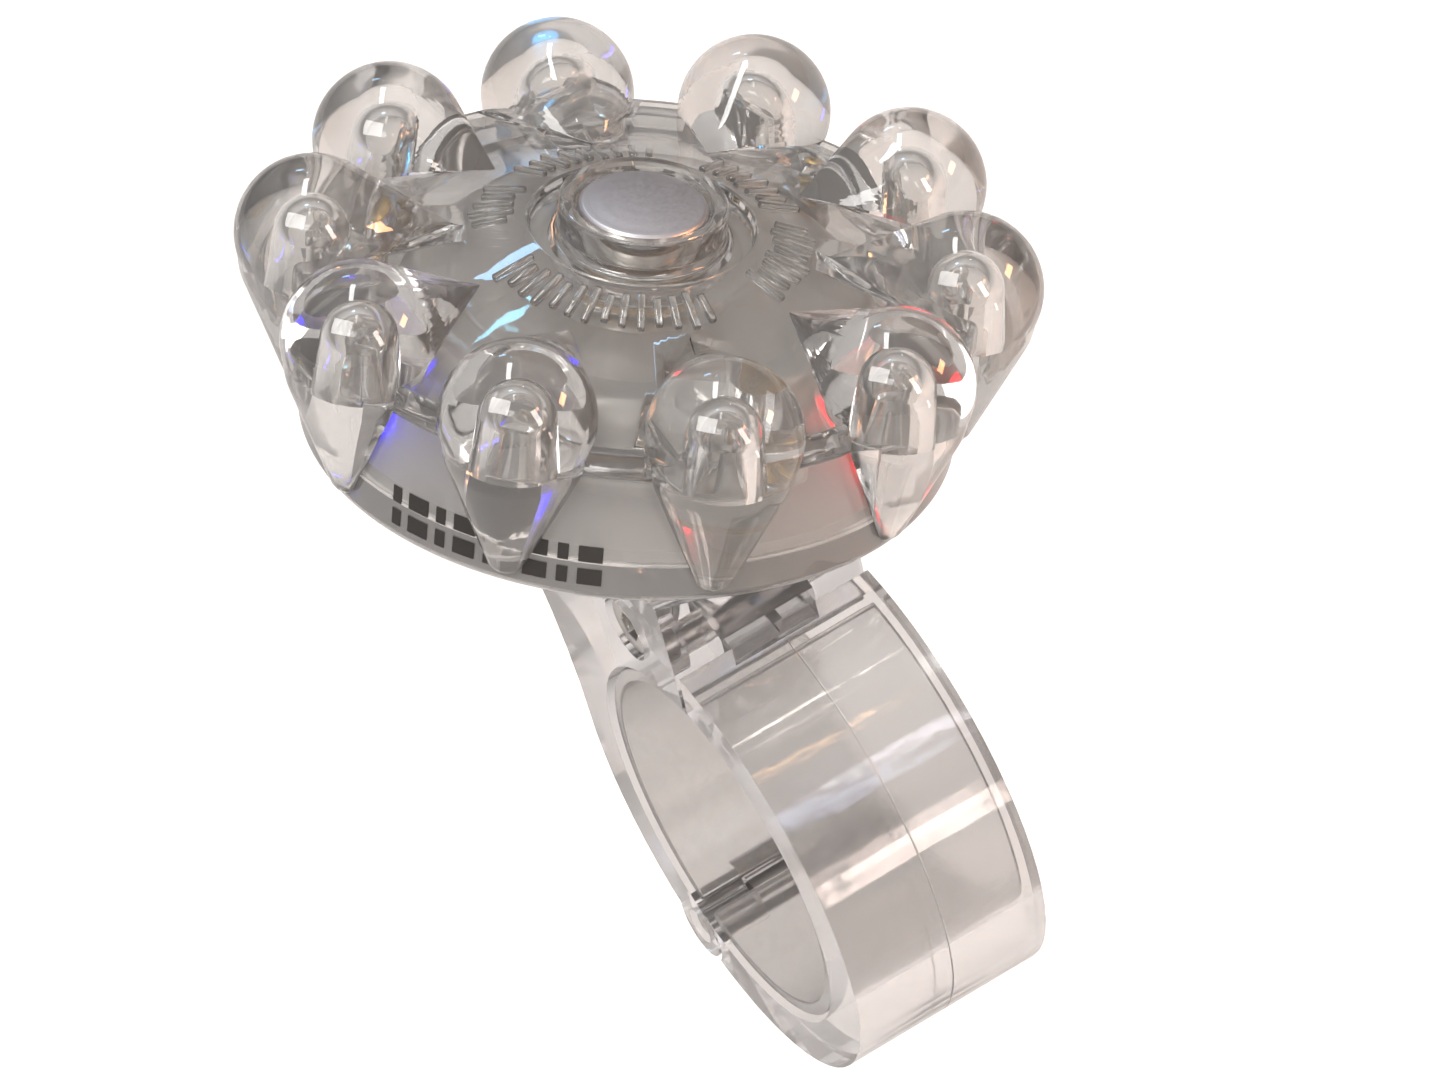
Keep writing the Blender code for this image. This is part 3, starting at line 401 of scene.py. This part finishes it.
head_middle = HEAD @ Vector((0.0, 0.0, cup_top * MM))
area_light("key_softbox", (-0.55, -0.35, 1.0), 0.45, (0.22, 0.16), "#fffdfb", 1.0)
area_light("front_strip", (0.15, -1.0, 0.55), 0.40, (0.05, 0.16), "#fff4ea", 0.35)
area_light("warm_window", (0.9, -0.55, 0.30), 0.35, (0.10, 0.05), "#ffb27a", 0.4)
area_light("cool_window", (0.35, 0.9, 0.75), 0.35, (0.04, 0.02), "#9fd4ff", 0.03)
area_light("top_strip", (0.2, 0.3, 1.0), 0.40, (0.04, 0.20), "#ffffff", 0.35)

# %% [markdown]
# A polished surface shows a light where its normal halves the angle between the light and the lens.
# So each of these small lights is placed from the spot on the bell where it should show.  Their
# strength is given as brightness, which is what a reflection keeps, whatever the light's size.


# %% Lights that mirror in the bell
def mirrored_light(name, spot, normal, size, colour, brightness, distance=0.45):
    """A light that shows in a polished surface at this spot, as the camera sees it."""
    to_lens = (camera.matrix_world.translation - spot).normalized()
    mirrored = 2 * normal.dot(to_lens) * normal - to_lens
    watts = brightness * math.pi * size[0] * size[1]
    light = area_light(name, mirrored, distance, size, colour, watts)
    light.location = spot + mirrored * distance


def on_strap(along_mm, angle):
    """A spot on the strap and its normal, at an angle from +Z towards +Y."""
    turn = math.radians(angle)
    normal = Vector((0.0, math.sin(turn), math.cos(turn)))
    return normal * strap_r + Vector((along_mm * MM, 0.0, 0.0)), normal


def on_head(radius_mm, angle, height_mm, tilt):
    """A spot in the head's frame; its normal points outwards and is raised by the tilt."""
    turn = math.radians(angle)
    outward = Vector((math.cos(turn), math.sin(turn), 0.0))
    normal = outward * math.cos(math.radians(tilt)) + Vector((0.0, 0.0, math.sin(math.radians(tilt))))
    return HEAD @ (outward * radius_mm * MM + Vector((0.0, 0.0, height_mm * MM))), HEAD.to_3x3() @ normal


tongue_half = 5.5 * MM      # the closing tongue stands proud, so it isn't measured
strap_r = max(math.hypot(vertex.co.y, vertex.co.z) for vertex in nodes["strap"].data.vertices
              if abs(vertex.co.x) > tongue_half)
mirrored_light("low_window", *on_strap(0.5, -67.0), (0.021, 0.085), "#ffe9df", 12.0)
mirrored_light("ceiling_tube", *on_strap(-2.8, -28.0), (0.008, 0.012), "#fff6ee", 16.0)
mirrored_light("warm_lamp", *on_strap(-3.6, -36.5), (0.006, 0.035), "#ffc890", 8.0)
mirrored_light("cool_panel", *on_strap(-3.4, -49.0), (0.012, 0.10), "#cfdcff", 3.0)
mirrored_light("pale_panel", *on_strap(4.2, -47.0), (0.010, 0.06), "#f4f2ff", 5.0)
mirrored_light("cyan_sign", *on_head(12.4, 200.0, 13.0, 77.0), (0.013, 0.009), "#8fe0ff", 14.0)
mirrored_light("blue_card", *on_head(21.3, 182.6, 5.0, -4.0), (0.10, 0.08), "#3a2fd0", 5.0, 0.3)
mirrored_light("peach_card", *on_head(21.3, 254.6, 5.0, -6.0), (0.14, 0.12), "#ffa880", 12.0, 0.35)
mirrored_light("red_sign", *on_head(21.3, 296.0, 6.0, 0.0), (0.04, 0.02), "#ff2348", 8.0, 0.35)

# %% [markdown]
# Light crosses many walls of clear plastic before it leaves, so it needs many bounces, or the thick
# places turn black.

# %% View and bounces
scene = bpy.context.scene
scene.view_settings.view_transform = "Standard"
scene.cycles.use_denoising = True
scene.cycles.max_bounces = 18
scene.cycles.transmission_bounces = 18
scene.cycles.transparent_max_bounces = 12
scene.cycles.sample_clamp_indirect = 6.0
print("stage ready")

# %% [markdown]
# ## Hand tools
#
# An operator works on what is selected, so each of these small tools selects its own piece first.
# They finish modifiers, round edges, cut, join, shade and put a piece in its place.


# %% Selecting and finishing
def pick(piece):
    """Selects one object only and makes it active."""
    bpy.ops.object.select_all(action="DESELECT")
    piece.select_set(True)
    bpy.context.view_layer.objects.active = piece


def finish_modifiers(piece):
    """Applies all modifiers of a piece, in their order."""
    pick(piece)
    for modifier in list(piece.modifiers):
        bpy.ops.object.modifier_apply(modifier=modifier.name)


def soften(piece, width_mm, segments=2, angle=32):
    """Rounds the sharp edges of a piece, as a mould or a file does."""
    bevel = piece.modifiers.new("soft_edges", "BEVEL")
    bevel.width = width_mm * MM
    bevel.segments = segments
    bevel.limit_method = "ANGLE"
    bevel.angle_limit = math.radians(angle)
    bevel.harden_normals = False
    bevel.use_clamp_overlap = True
    finish_modifiers(piece)


# %% Cutting and joining
def combine(piece, other, operation):
    """Joins or cuts a piece with another, which is then gone."""
    boolean = piece.modifiers.new("combine", "BOOLEAN")
    boolean.object = other
    boolean.operation = operation
    boolean.solver = "EXACT"
    finish_modifiers(piece)
    bpy.data.objects.remove(other, do_unlink=True)


def joined(pieces, name):
    """Separate meshes as one object, under a name."""
    bpy.ops.object.select_all(action="DESELECT")
    for piece in pieces:
        piece.select_set(True)
    bpy.context.view_layer.objects.active = pieces[0]
    bpy.ops.object.join()
    pieces[0].name = name
    return pieces[0]


# %% Shading and placing
def smooth(piece, angle=30):
    """Shades rounds smooth and lets the large faces keep their own direction at soft edges."""
    pick(piece)
    bpy.ops.object.shade_smooth_by_angle(angle=math.radians(angle))
    weighted = piece.modifiers.new("even_shading", "WEIGHTED_NORMAL")
    weighted.mode = "FACE_AREA"
    weighted.weight = 100
    weighted.keep_sharp = True
    finish_modifiers(piece)


def settle(piece, place=None):
    """Moves a piece to its place and leaves its object at the origin, unturned."""
    if place is not None:
        piece.matrix_world = place @ piece.matrix_world
    pick(piece)
    bpy.ops.object.transform_apply(location=True, rotation=True, scale=True)


def belongs(piece, body, slot, *materials, stands_for=()):
    """Gives a piece its body and materials, and hides the plain nodes that it replaces.  The slot is not
    used.
    """
    piece.data.materials.clear()
    for material in materials:
        piece.data.materials.append(material)
    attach(piece, body)
    if stands_for:
        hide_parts(*stands_for)
    print(piece.name, len(piece.data.polygons), "faces")
    return piece


# %% [markdown]
# A turned piece starts as one point, extruded along half its section and spun round the axis, as a
# lathe would cut it.  The seam is merged, and the normals are made to point out.  A Screw modifier
# turns a section too, but the spin does it in edit mode, where the seam can be merged straight away.


# %% The lathe
merge_within = 0.002 * MM


def turned(name, profile, steps=128, closed=True):
    """Spins a section of radii and heights in millimetres round Z."""
    bpy.ops.object.select_all(action="DESELECT")
    bpy.ops.mesh.primitive_plane_add(size=MM)
    piece = bpy.context.object
    piece.name = name
    bpy.ops.object.mode_set(mode="EDIT")
    bpy.ops.mesh.merge(type="CENTER")
    bpy.ops.transform.translate(value=(profile[0][0] * MM, 0.0, profile[0][1] * MM))
    for (r0, z0), (r1, z1) in zip(profile, profile[1:]):
        step = ((r1 - r0) * MM, 0.0, (z1 - z0) * MM)
        bpy.ops.mesh.extrude_region_move(TRANSFORM_OT_translate={"value": step})
    if closed:
        bm = bmesh.from_edit_mesh(piece.data)
        bm.verts.ensure_lookup_table()
        for end in (bm.verts[0], bm.verts[-1]):
            end.select_set(True)
        bmesh.update_edit_mesh(piece.data)
        bpy.ops.mesh.edge_face_add()
    bpy.ops.mesh.select_all(action="SELECT")
    bpy.ops.mesh.spin(steps=steps, angle=math.tau, center=(0.0, 0.0, 0.0), axis=(0.0, 0.0, 1.0))
    bpy.ops.mesh.select_all(action="SELECT")
    bpy.ops.mesh.remove_doubles(threshold=merge_within)
    bpy.ops.mesh.normals_make_consistent(inside=False)
    bpy.ops.object.mode_set(mode="OBJECT")
    return piece


def rounded(centre, radius, start, end, count=6):
    """Points of a rounded corner in a section."""
    points = []
    for step in range(count + 1):
        angle = math.radians(start + (end - start) * step / count)
        points.append((centre[0] + radius * math.cos(angle), centre[1] + radius * math.sin(angle)))
    return points


def around(radius, angle):
    """X and Y of a point in the head's frame."""
    return radius * math.cos(math.radians(angle)), radius * math.sin(math.radians(angle))


# %% [markdown]
# ## The rotating cap
#
# The cap is one moulding: a shallow cone with a raised lip round its dish, a collar in the middle and
# ten ball domes on its rim.  A tenth of it could be modelled and repeated, but that would leave ten
# seams across the dish.  So the cone is turned whole, from half its section, and the domes are joined
# to it.

# %% Cap: sizes
dome_count, dome_first = 10, 2.6                # how many, and the first one's angle in degrees
dome_circle, dome_height, dome_r = 19.9, 11.8, 4.8
leaf_tip = (11.5, 0.0, 13.25)                   # a dome's point towards the dish
shoulder_r, shoulder_height = 4.5, 10.3         # the ball that a dome's lower point starts from
tail_end_r, tail_low, tail_out = 1.4, 1.0, 0.8
drum_gap = 0.3
rim_low = cup_top + drum_gap
rim_r = cup_r + 0.4
rim_top = rim_low + 1.9
collar_r, collar_bore_r = 5.2, 4.5
dish_floor, dish_r, corner_r = 13.8, 7.1, 0.3
hub_low, hub_r, hub_bore_r = 11.2, 4.6, 3.05
slope_start, slope_end = (8.6, 13.95), (10.5, 13.4)     # the stretch of the cone that carries the bars
print(f"cap rim {rim_r:.2f} mm, collar top {collar_top:.2f} mm")

# %% Cap: the turned shell
corner = dish_floor + corner_r
shell = [(collar_r - 0.2, collar_top)] + rounded((collar_r - 0.25, collar_top - 0.25), 0.25, 90, 0, 3)
shell += [(collar_r, dish_floor + 0.4)] + rounded((collar_r + 0.4, dish_floor + 0.4), 0.4, 180, 270, 4)
shell += [(dish_r - 0.5, dish_floor)] + rounded((dish_r - 0.5, corner), corner_r, -90, 0, 3)
shell += rounded((dish_r, dish_floor + 0.45), 0.2, 180, 60, 4) + [slope_start, slope_end, (15.5, 12.35)]
shell += rounded((rim_r - 0.5, rim_top - 0.45), 0.5, 70, 0, 4)
shell += rounded((rim_r - 0.25, rim_low + 0.25), 0.25, 0, -90, 3)
shell += [(18.9, rim_low), (15.0, 10.42), (10.5, 11.7), (5.6, 12.1), (hub_r, hub_low), (hub_bore_r, hub_low),
          (hub_bore_r, dish_floor), (4.0, dish_floor)] + rounded((4.0, corner), corner_r, -90, 0, 3)
shell += [(4.3, collar_top - 0.2), (collar_bore_r, collar_top)]
rotor = turned("rotating_cap", shell, steps=160)


# %% [markdown]
# Each dome is a ball with a cone that runs to a point towards the dish.  A cone touches a ball all
# round where the line from its tip is square to the radius, which gives its base circle.  The lower
# point, down the drum's side, is blunt: it is the hull round a large ball and a small one.


# %% Cap: one dome with its two points
def cone_to(centre, radius, tip, sides=48):
    """A cone with this tip that touches the ball all round."""
    centre, tip = Vector(centre), Vector(tip)
    away = tip - centre
    reach = away.length
    foot = radius * radius / reach
    base_r = radius * math.sqrt(1.0 - (radius / reach) ** 2)
    middle = centre + away.normalized() * (foot + reach) / 2
    bpy.ops.object.select_all(action="DESELECT")
    bpy.ops.mesh.primitive_cone_add(vertices=sides, radius1=base_r * MM, radius2=0.0,
                                    depth=(reach - foot) * MM, location=middle * MM,
                                    rotation=away.to_track_quat("Z", "Y").to_euler())
    cone = bpy.context.object
    settle(cone)
    return cone


def ball(name, centre, radius, across=48, down=24):
    """A ball, used as a cutter or a blank."""
    bpy.ops.object.select_all(action="DESELECT")
    bpy.ops.mesh.primitive_uv_sphere_add(segments=across, ring_count=down, radius=radius * MM,
                                         location=Vector(centre) * MM)
    piece = bpy.context.object
    piece.name = name
    settle(piece)
    return piece


centre = (dome_circle, 0.0, dome_height)
dome = ball("dome", centre, dome_r)
combine(dome, cone_to(centre, dome_r * 0.997, leaf_tip), "UNION")     # a hair inside the ball
tail = ball("tail", (dome_circle, 0.0, shoulder_height), shoulder_r)
tail_tip = (cup_r + drum_gap + tail_out - tail_end_r, 0.0, tail_low + tail_end_r)
tail = joined([tail, ball("tail_end", tail_tip, tail_end_r, 24, 12)], "tail")
bpy.ops.object.mode_set(mode="EDIT")
bpy.ops.mesh.select_all(action="SELECT")
bpy.ops.mesh.convex_hull()
bpy.ops.object.mode_set(mode="OBJECT")
combine(dome, tail, "UNION")
print("dome", len(dome.data.polygons), "faces")


# %% Cap: ten domes on the shell
def turned_copy(one, angle):
    """A copy of a shape with its own mesh, turned round the axis."""
    copy = bpy.data.objects.new(one.name, one.data.copy())
    bpy.context.scene.collection.objects.link(copy)
    copy.data.transform(Matrix.Rotation(math.radians(angle), 4, "Z"))
    return copy


def copies_round(one, count, first):
    """Evenly spaced copies of a shape round the axis, joined into one object in its stead."""
    copies = [turned_copy(one, first + number * 360.0 / count) for number in range(count)]
    bpy.data.objects.remove(one, do_unlink=True)
    return joined(copies, "copies")


def round_bar(name, radius, low, high, at=(0.0, 0.0), sides=64):
    """A plain cylinder along Z, used as a cutter or a blank."""
    bpy.ops.object.select_all(action="DESELECT")
    bpy.ops.mesh.primitive_cylinder_add(vertices=sides, radius=radius * MM, depth=(high - low) * MM,
                                        location=(at[0] * MM, at[1] * MM, (low + high) / 2 * MM))
    piece = bpy.context.object
    piece.name = name
    settle(piece)
    return piece


combine(rotor, copies_round(dome, dome_count, dome_first), "UNION")
combine(rotor, round_bar("drum_room", cup_r + drum_gap, -10.0, rim_low, sides=160), "DIFFERENCE")

# %% [markdown]
# Each dome is hollowed from below by a small blind pocket with a round end.  It is what draws the
# rings in the middle of every dome.  The strikers' pins stand in three blind holes of the rim.

# %% Cap: pockets and pin holes
pocket_r = 1.5
pocket_top = rim_low + 4.1
pocket = round_bar("pocket", pocket_r, rim_low - 0.3, pocket_top - pocket_r, (dome_circle, 0.0), 40)
combine(pocket, ball("pocket_end", (dome_circle, 0.0, pocket_top - pocket_r), pocket_r * 1.0005, 40, 20),
        "UNION")
combine(rotor, copies_round(pocket, dome_count, dome_first), "DIFFERENCE")
pin_circle = Vector(HEAD.inverted() @ Vector(joints["striker_swing_1"]["pos_m"]))
pin_first = math.degrees(math.atan2(pin_circle.y, pin_circle.x))
pin_hole_r, pin_hole_top = 0.9, 11.35
pin_at = (pin_circle.xy.length / MM, 0.0)
pin_hole = round_bar("pin_hole", pin_hole_r, rim_low - 1.0, pin_hole_top, pin_at, 24)
combine(rotor, copies_round(pin_hole, 3, pin_first), "DIFFERENCE")
smooth(rotor, 28)
settle(rotor, HEAD)
belongs(rotor, "rotor", "clear_polycarbonate", polished_polycarbonate, stands_for=["rotor_cap"])

# %% [markdown]
# ## Raised bars round the dish
#
# A ring of short raised bars surrounds the dish, in five groups.  They are plain bars of three lengths,
# a grip pattern with no meaning.  An array round the axis would also fill the gaps between the groups,
# so one bar of each length is modelled, and copies of it are turned to their places.


# %% Raised bars
bar_groups = ((224.0, 14), (316.0, 8), (13.0, 7), (82.0, 9), (137.0, 5))    # middle angle and count
bar_lengths = (2.9, 2.2, 2.6)
bar_wide, bar_high, bar_soft = 0.46, 0.6, 0.12
bar_circle, bar_height, bar_step = 9.2, 13.78, 6.3
shell_slope = math.atan2(slope_end[1] - slope_start[1], slope_end[0] - slope_start[0])


def bar_blank(length):
    """One bar at angle zero: a block with soft edges that leans with the shell."""
    bpy.ops.object.select_all(action="DESELECT")
    bpy.ops.mesh.primitive_cube_add(size=1.0)
    blank = bpy.context.object
    blank.scale = (length * MM, bar_wide * MM, bar_high * MM)
    blank.rotation_euler = (0.0, -shell_slope, 0.0)
    blank.location = (bar_circle * MM, 0.0, bar_height * MM)
    settle(blank)
    soften(blank, bar_soft, 2)
    return blank


blanks = [bar_blank(length) for length in bar_lengths]
bars = []
for group_middle, bar_count in bar_groups:
    for index in range(bar_count):
        angle = group_middle + (index - (bar_count - 1) / 2) * bar_step
        bars.append(turned_copy(blanks[index % len(blanks)], angle))
for blank in blanks:
    bpy.data.objects.remove(blank, do_unlink=True)
raised_bars = joined(bars, "raised_bars")
smooth(raised_bars)
settle(raised_bars, HEAD)
belongs(raised_bars, "rotor", "clear_polycarbonate", polished_polycarbonate)

# %% [markdown]
# ## The drum
#
# The drum is a plain cup with a thick wall.  Its lower edge is rounded, and its floor has the
# spindle's hole and two screw holes.  A cylinder would need a hollow cut in it, where one turned
# section gives both sides of the wall and the spindle's hole at once.  Only the screw holes are cut.

# %% Drum
cup_wall, cup_floor, inner_r, foot_r = 1.5, 2.0, 0.6, 1.0
cup = [(cup_r - 0.15, cup_top)] + rounded((cup_r - 0.2, cup_top - 0.2), 0.2, 60, 0, 2)
cup += rounded((cup_r - foot_r, foot_r), foot_r, 0, -90, 8) + [(cup_bore, 0.0), (cup_bore, cup_floor)]
cup += rounded((cup_r - cup_wall - inner_r, cup_floor + inner_r), inner_r, -90, 0, 5)
cup += [(cup_r - cup_wall, cup_top - 0.2), (cup_r - cup_wall + 0.15, cup_top)]
drum = turned("drum", cup, steps=160)
screw_hole_r = 1.25
for screw in ("saddle_screw_1", "saddle_screw_2"):
    low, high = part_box(screw)
    middle = HEAD.inverted() @ ((Vector(low) + Vector(high)) / 2)
    at = (middle.x / MM, middle.y / MM)
    combine(drum, round_bar("screw_hole", screw_hole_r, -1.0, cup_floor + 1.0, at, 32), "DIFFERENCE")
smooth(drum)
settle(drum, HEAD)
belongs(drum, "base", "clear_polycarbonate", drum_polycarbonate, stands_for=["base_cup"])

# %% [markdown]
# ## Printed turn marks
#
# The drum carries a short printed band low on its side: two rows of plain blocks in black ink.  A
# pattern in the drum's material could draw them, but pads of their own keep a crisp edge from close
# by.  Each is a small grid bent round the drum, then given the thickness of a coat of ink.


# %% Turn marks
facet_degrees, ink_gap, ink_thick = 1.5, 0.01, 0.06


def ink_pad(start, end, low, high):
    """A thin pad of ink on the drum's side between two angles and two heights."""
    count = max(2, int(abs(end - start) / facet_degrees))
    bpy.ops.object.select_all(action="DESELECT")
    bpy.ops.mesh.primitive_grid_add(x_subdivisions=count, y_subdivisions=1, size=1.0)
    pad = bpy.context.object
    for vertex in pad.data.vertices:
        share_x, share_y = vertex.co.x + 0.5, vertex.co.y + 0.5
        x, y = around(cup_r + ink_gap, start + (end - start) * share_x)
        vertex.co = (x * MM, y * MM, (low + (high - low) * share_y) * MM)
    solid = pad.modifiers.new("ink", "SOLIDIFY")
    solid.thickness = ink_thick * MM
    solid.offset = 1.0
    finish_modifiers(pad)
    return pad


marks = []
mark_low, mark_high, row_gap, mark_step = 1.3, 4.0, 0.25, 1.7
angle = 195.5
for width in (1.9, 4.2, 1.9, 4.2, 1.9, 1.9, 4.2, 1.9, 4.2):
    middle = (mark_low + mark_high) / 2
    marks.append(ink_pad(angle, angle + width, mark_low, middle - row_gap))
    marks.append(ink_pad(angle, angle + width, middle + row_gap, mark_high))
    angle += width + mark_step
turn_marks = joined(marks, "turn_marks")
settle(turn_marks, HEAD)
belongs(turn_marks, "base", "chip_black", black_ink)

# %% [markdown]
# ## The silver cap
#
# A turned silver plate closes the collar.  Its face is satin, its edge polished, and a grey neck under
# it plugs onto the spindle; the neck's dark grey is painted shade under the plate.  Three pieces for
# the three finishes would show where they meet, so it is one mesh, and its faces take their material
# by where they lie.

# %% Centre cap
_, cap_r, cap_low, cap_top = seen_from_axis("centre_cap")
plug_top = 15.3
neck_r = 2.73
section = [(0.0, cap_top), (cap_r - 0.75, cap_top), (cap_r - 0.6, cap_top - 0.04)]
section += rounded((cap_r - 0.4, cap_top - 0.42), 0.4, 80, 0, 5)
section += [(cap_r, plug_top + 0.1), (cap_r - 0.1, plug_top), (neck_r, plug_top - 0.1), (neck_r, cap_low),
            (2.1, cap_low), (2.1, plug_top), (0.0, plug_top)]
centre_cap = turned("centre_cap_fine", section, steps=128, closed=False)
smooth(centre_cap, 25)
# The neck's faces take the dark grey, as painted shade under the plate.
for polygon in centre_cap.data.polygons:
    in_neck = polygon.center.xy.length < (neck_r + 0.05) * MM and polygon.center.z < plug_top * MM
    polygon.material_index = 2 if in_neck else 0 if polygon.center.z > (cap_top - 0.03) * MM else 1
settle(centre_cap, HEAD)
belongs(centre_cap, "base", "satin_silver", satin_silver, polished_silver, neck_plastic_painted_shade,
        stands_for=["centre_cap"])

# %% [markdown]
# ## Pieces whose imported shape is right
#
# Many small pieces could be modelled again, but their shape is already right.  They only need what a
# mould or a lathe gives them: whole faces, softened edges and smooth shading across the facets of a
# round.  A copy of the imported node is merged, its flat triangles are dissolved, its sharp edges are
# rounded, and it takes the node's place.


# %% Refined copies
flat_within = 0.6       # degrees between two facets of one flat face


def refined(node, soften_mm, *materials, body="base", slot="stainless_steel", angle=30):
    """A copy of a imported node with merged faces, soft edges and smooth shading."""
    piece = nodes[node].copy()
    piece.data = nodes[node].data.copy()
    piece.name = node + "_fine"
    bpy.context.scene.collection.objects.link(piece)
    pick(piece)
    bpy.ops.object.mode_set(mode="EDIT")
    bpy.ops.mesh.select_all(action="SELECT")
    bpy.ops.mesh.remove_doubles(threshold=merge_within)
    bpy.ops.mesh.dissolve_limited(angle_limit=math.radians(flat_within))
    bpy.ops.object.mode_set(mode="OBJECT")
    if soften_mm:
        soften(piece, soften_mm, 2, angle)
    smooth(piece, angle)
    return belongs(piece, body, slot, *materials, stands_for=[node])


refined("saddle", 0.25, strap_polycarbonate, slot="clear_polycarbonate")
refined("bar_liner_saddle", 0.15, liner_vinyl, slot="soft_liner")
refined("bar_liner_strap", 0.15, liner_vinyl, body="strap_door", slot="soft_liner")
refined("hinge_pin", 0.12, stainless)
refined("clamp_screw", 0.10, stainless, body="pinch_screw")
refined("spindle", 0.15, stainless)
refined("gong_nut", 0.08, machined_brass, slot="brass")
refined("thrust_washer", 0.05, white_nylon, slot="white_nylon")
refined("cell_tray", 0.12, tray_plastic, slot="tray_plastic")
refined("cell_contact", 0.06, machined_brass, slot="brass")
refined("light_board", 0.06, solder_resist, slot="board_laminate")
refined("motion_switch", 0.12, machined_brass, slot="brass")
refined("controller_chip", 0.08, chip_epoxy, slot="chip_black")
refined("rotor_bush", 0.06, sintered_bronze, body="rotor", slot="bronze")
for number in (1, 2):
    refined(f"saddle_screw_{number}", 0.06, stainless)
for number in (1, 2, 3):
    refined(f"button_cell_{number}", 0.25, nickel_plate, slot="cell_steel")
    refined(f"led_{number}", 0.0, led_glows[number - 1], slot="led_lens", angle=50)
    refined(f"striker_pin_{number}", 0.05, machined_brass, body="rotor", slot="brass")
    refined(f"striker_{number}", 0.12, stainless, body=f"swinging_striker_{number}")

# %% [markdown]
# ## The gong
#
# The gong is a pressed steel dish, then turned: its face has two shallow grooves that catch the light
# as rings through the clear cap.  Bump could draw them, but they are wide enough for the section to
# carry them, so they are real.

# %% Gong
gong_bore, gong_r, gong_low, gong_top = seen_from_axis("gong")
gong_thick, gong_round, step_deep = 0.8, 1.6, 0.08
section = [(gong_bore, gong_top)]
for ring_r in (5.0, 11.2):
    section += [(ring_r - 0.35, gong_top), (ring_r - 0.15, gong_top - step_deep),
                (ring_r + 0.15, gong_top - step_deep), (ring_r + 0.35, gong_top)]
bend = (gong_r - gong_round, gong_top - gong_round)
section += rounded(bend, gong_round, 90, 0, 10) + [(gong_r, gong_low), (gong_r - gong_thick, gong_low)]
section += rounded(bend, gong_round - gong_thick, 0, 90, 6) + [(gong_bore, gong_top - gong_thick)]
gong = turned("gong_fine", section, steps=128)
smooth(gong, 35)
settle(gong, HEAD)
belongs(gong, "base", "gong_steel", gong_steel, stands_for=["gong"])

# %% [markdown]
# ## The strap
#
# The strap is the wide clear band over the bar.  Its outer face is parted down the middle by a fine
# groove.  Two half straps could meet there, but the real one is a single moulding, so a thin turned
# ring cuts the groove, equally deep all the way round.  The faces of the end that meets the saddle
# are painted dark: painted shade for the gap between strap and saddle, which shows as a dark line.

# %% Strap
strap = refined("strap", 0.3, strap_polycarbonate, split_shade_paint, body="strap_door",
                slot="clear_polycarbonate")
strap_outer = strap_r / MM
groove_half, groove_deep = 0.35, 0.22
groove = turned("groove_cutter", [(strap_outer + 1.0, groove_half), (strap_outer - groove_deep, 0.0),
                                  (strap_outer + 1.0, -groove_half)], steps=120)
groove.rotation_euler = (0.0, math.radians(90), 0.0)
settle(groove)
combine(strap, groove, "DIFFERENCE")
smooth(strap)

# %% The strap's painted shade at the split
split_angle, edge_span, edge_deep = -5.4, 2.6, 0.4
tongue_side, small_area = 3.2, 6 * MM ** 2
# Small faces near the surface at the split take the dark paint, as painted shade in the gap.
for polygon in strap.data.polygons:
    centre = polygon.center / MM
    angle = math.degrees(math.atan2(centre.y, centre.z))
    at_split = abs(angle - split_angle) < edge_span
    at_surface = math.hypot(centre.y, centre.z) > strap_outer - edge_deep
    small = polygon.area < small_area and abs(centre.x) > tongue_side
    polygon.material_index = 1 if at_split and at_surface and small else 0
print("painted shade faces", sum(polygon.material_index for polygon in strap.data.polygons))
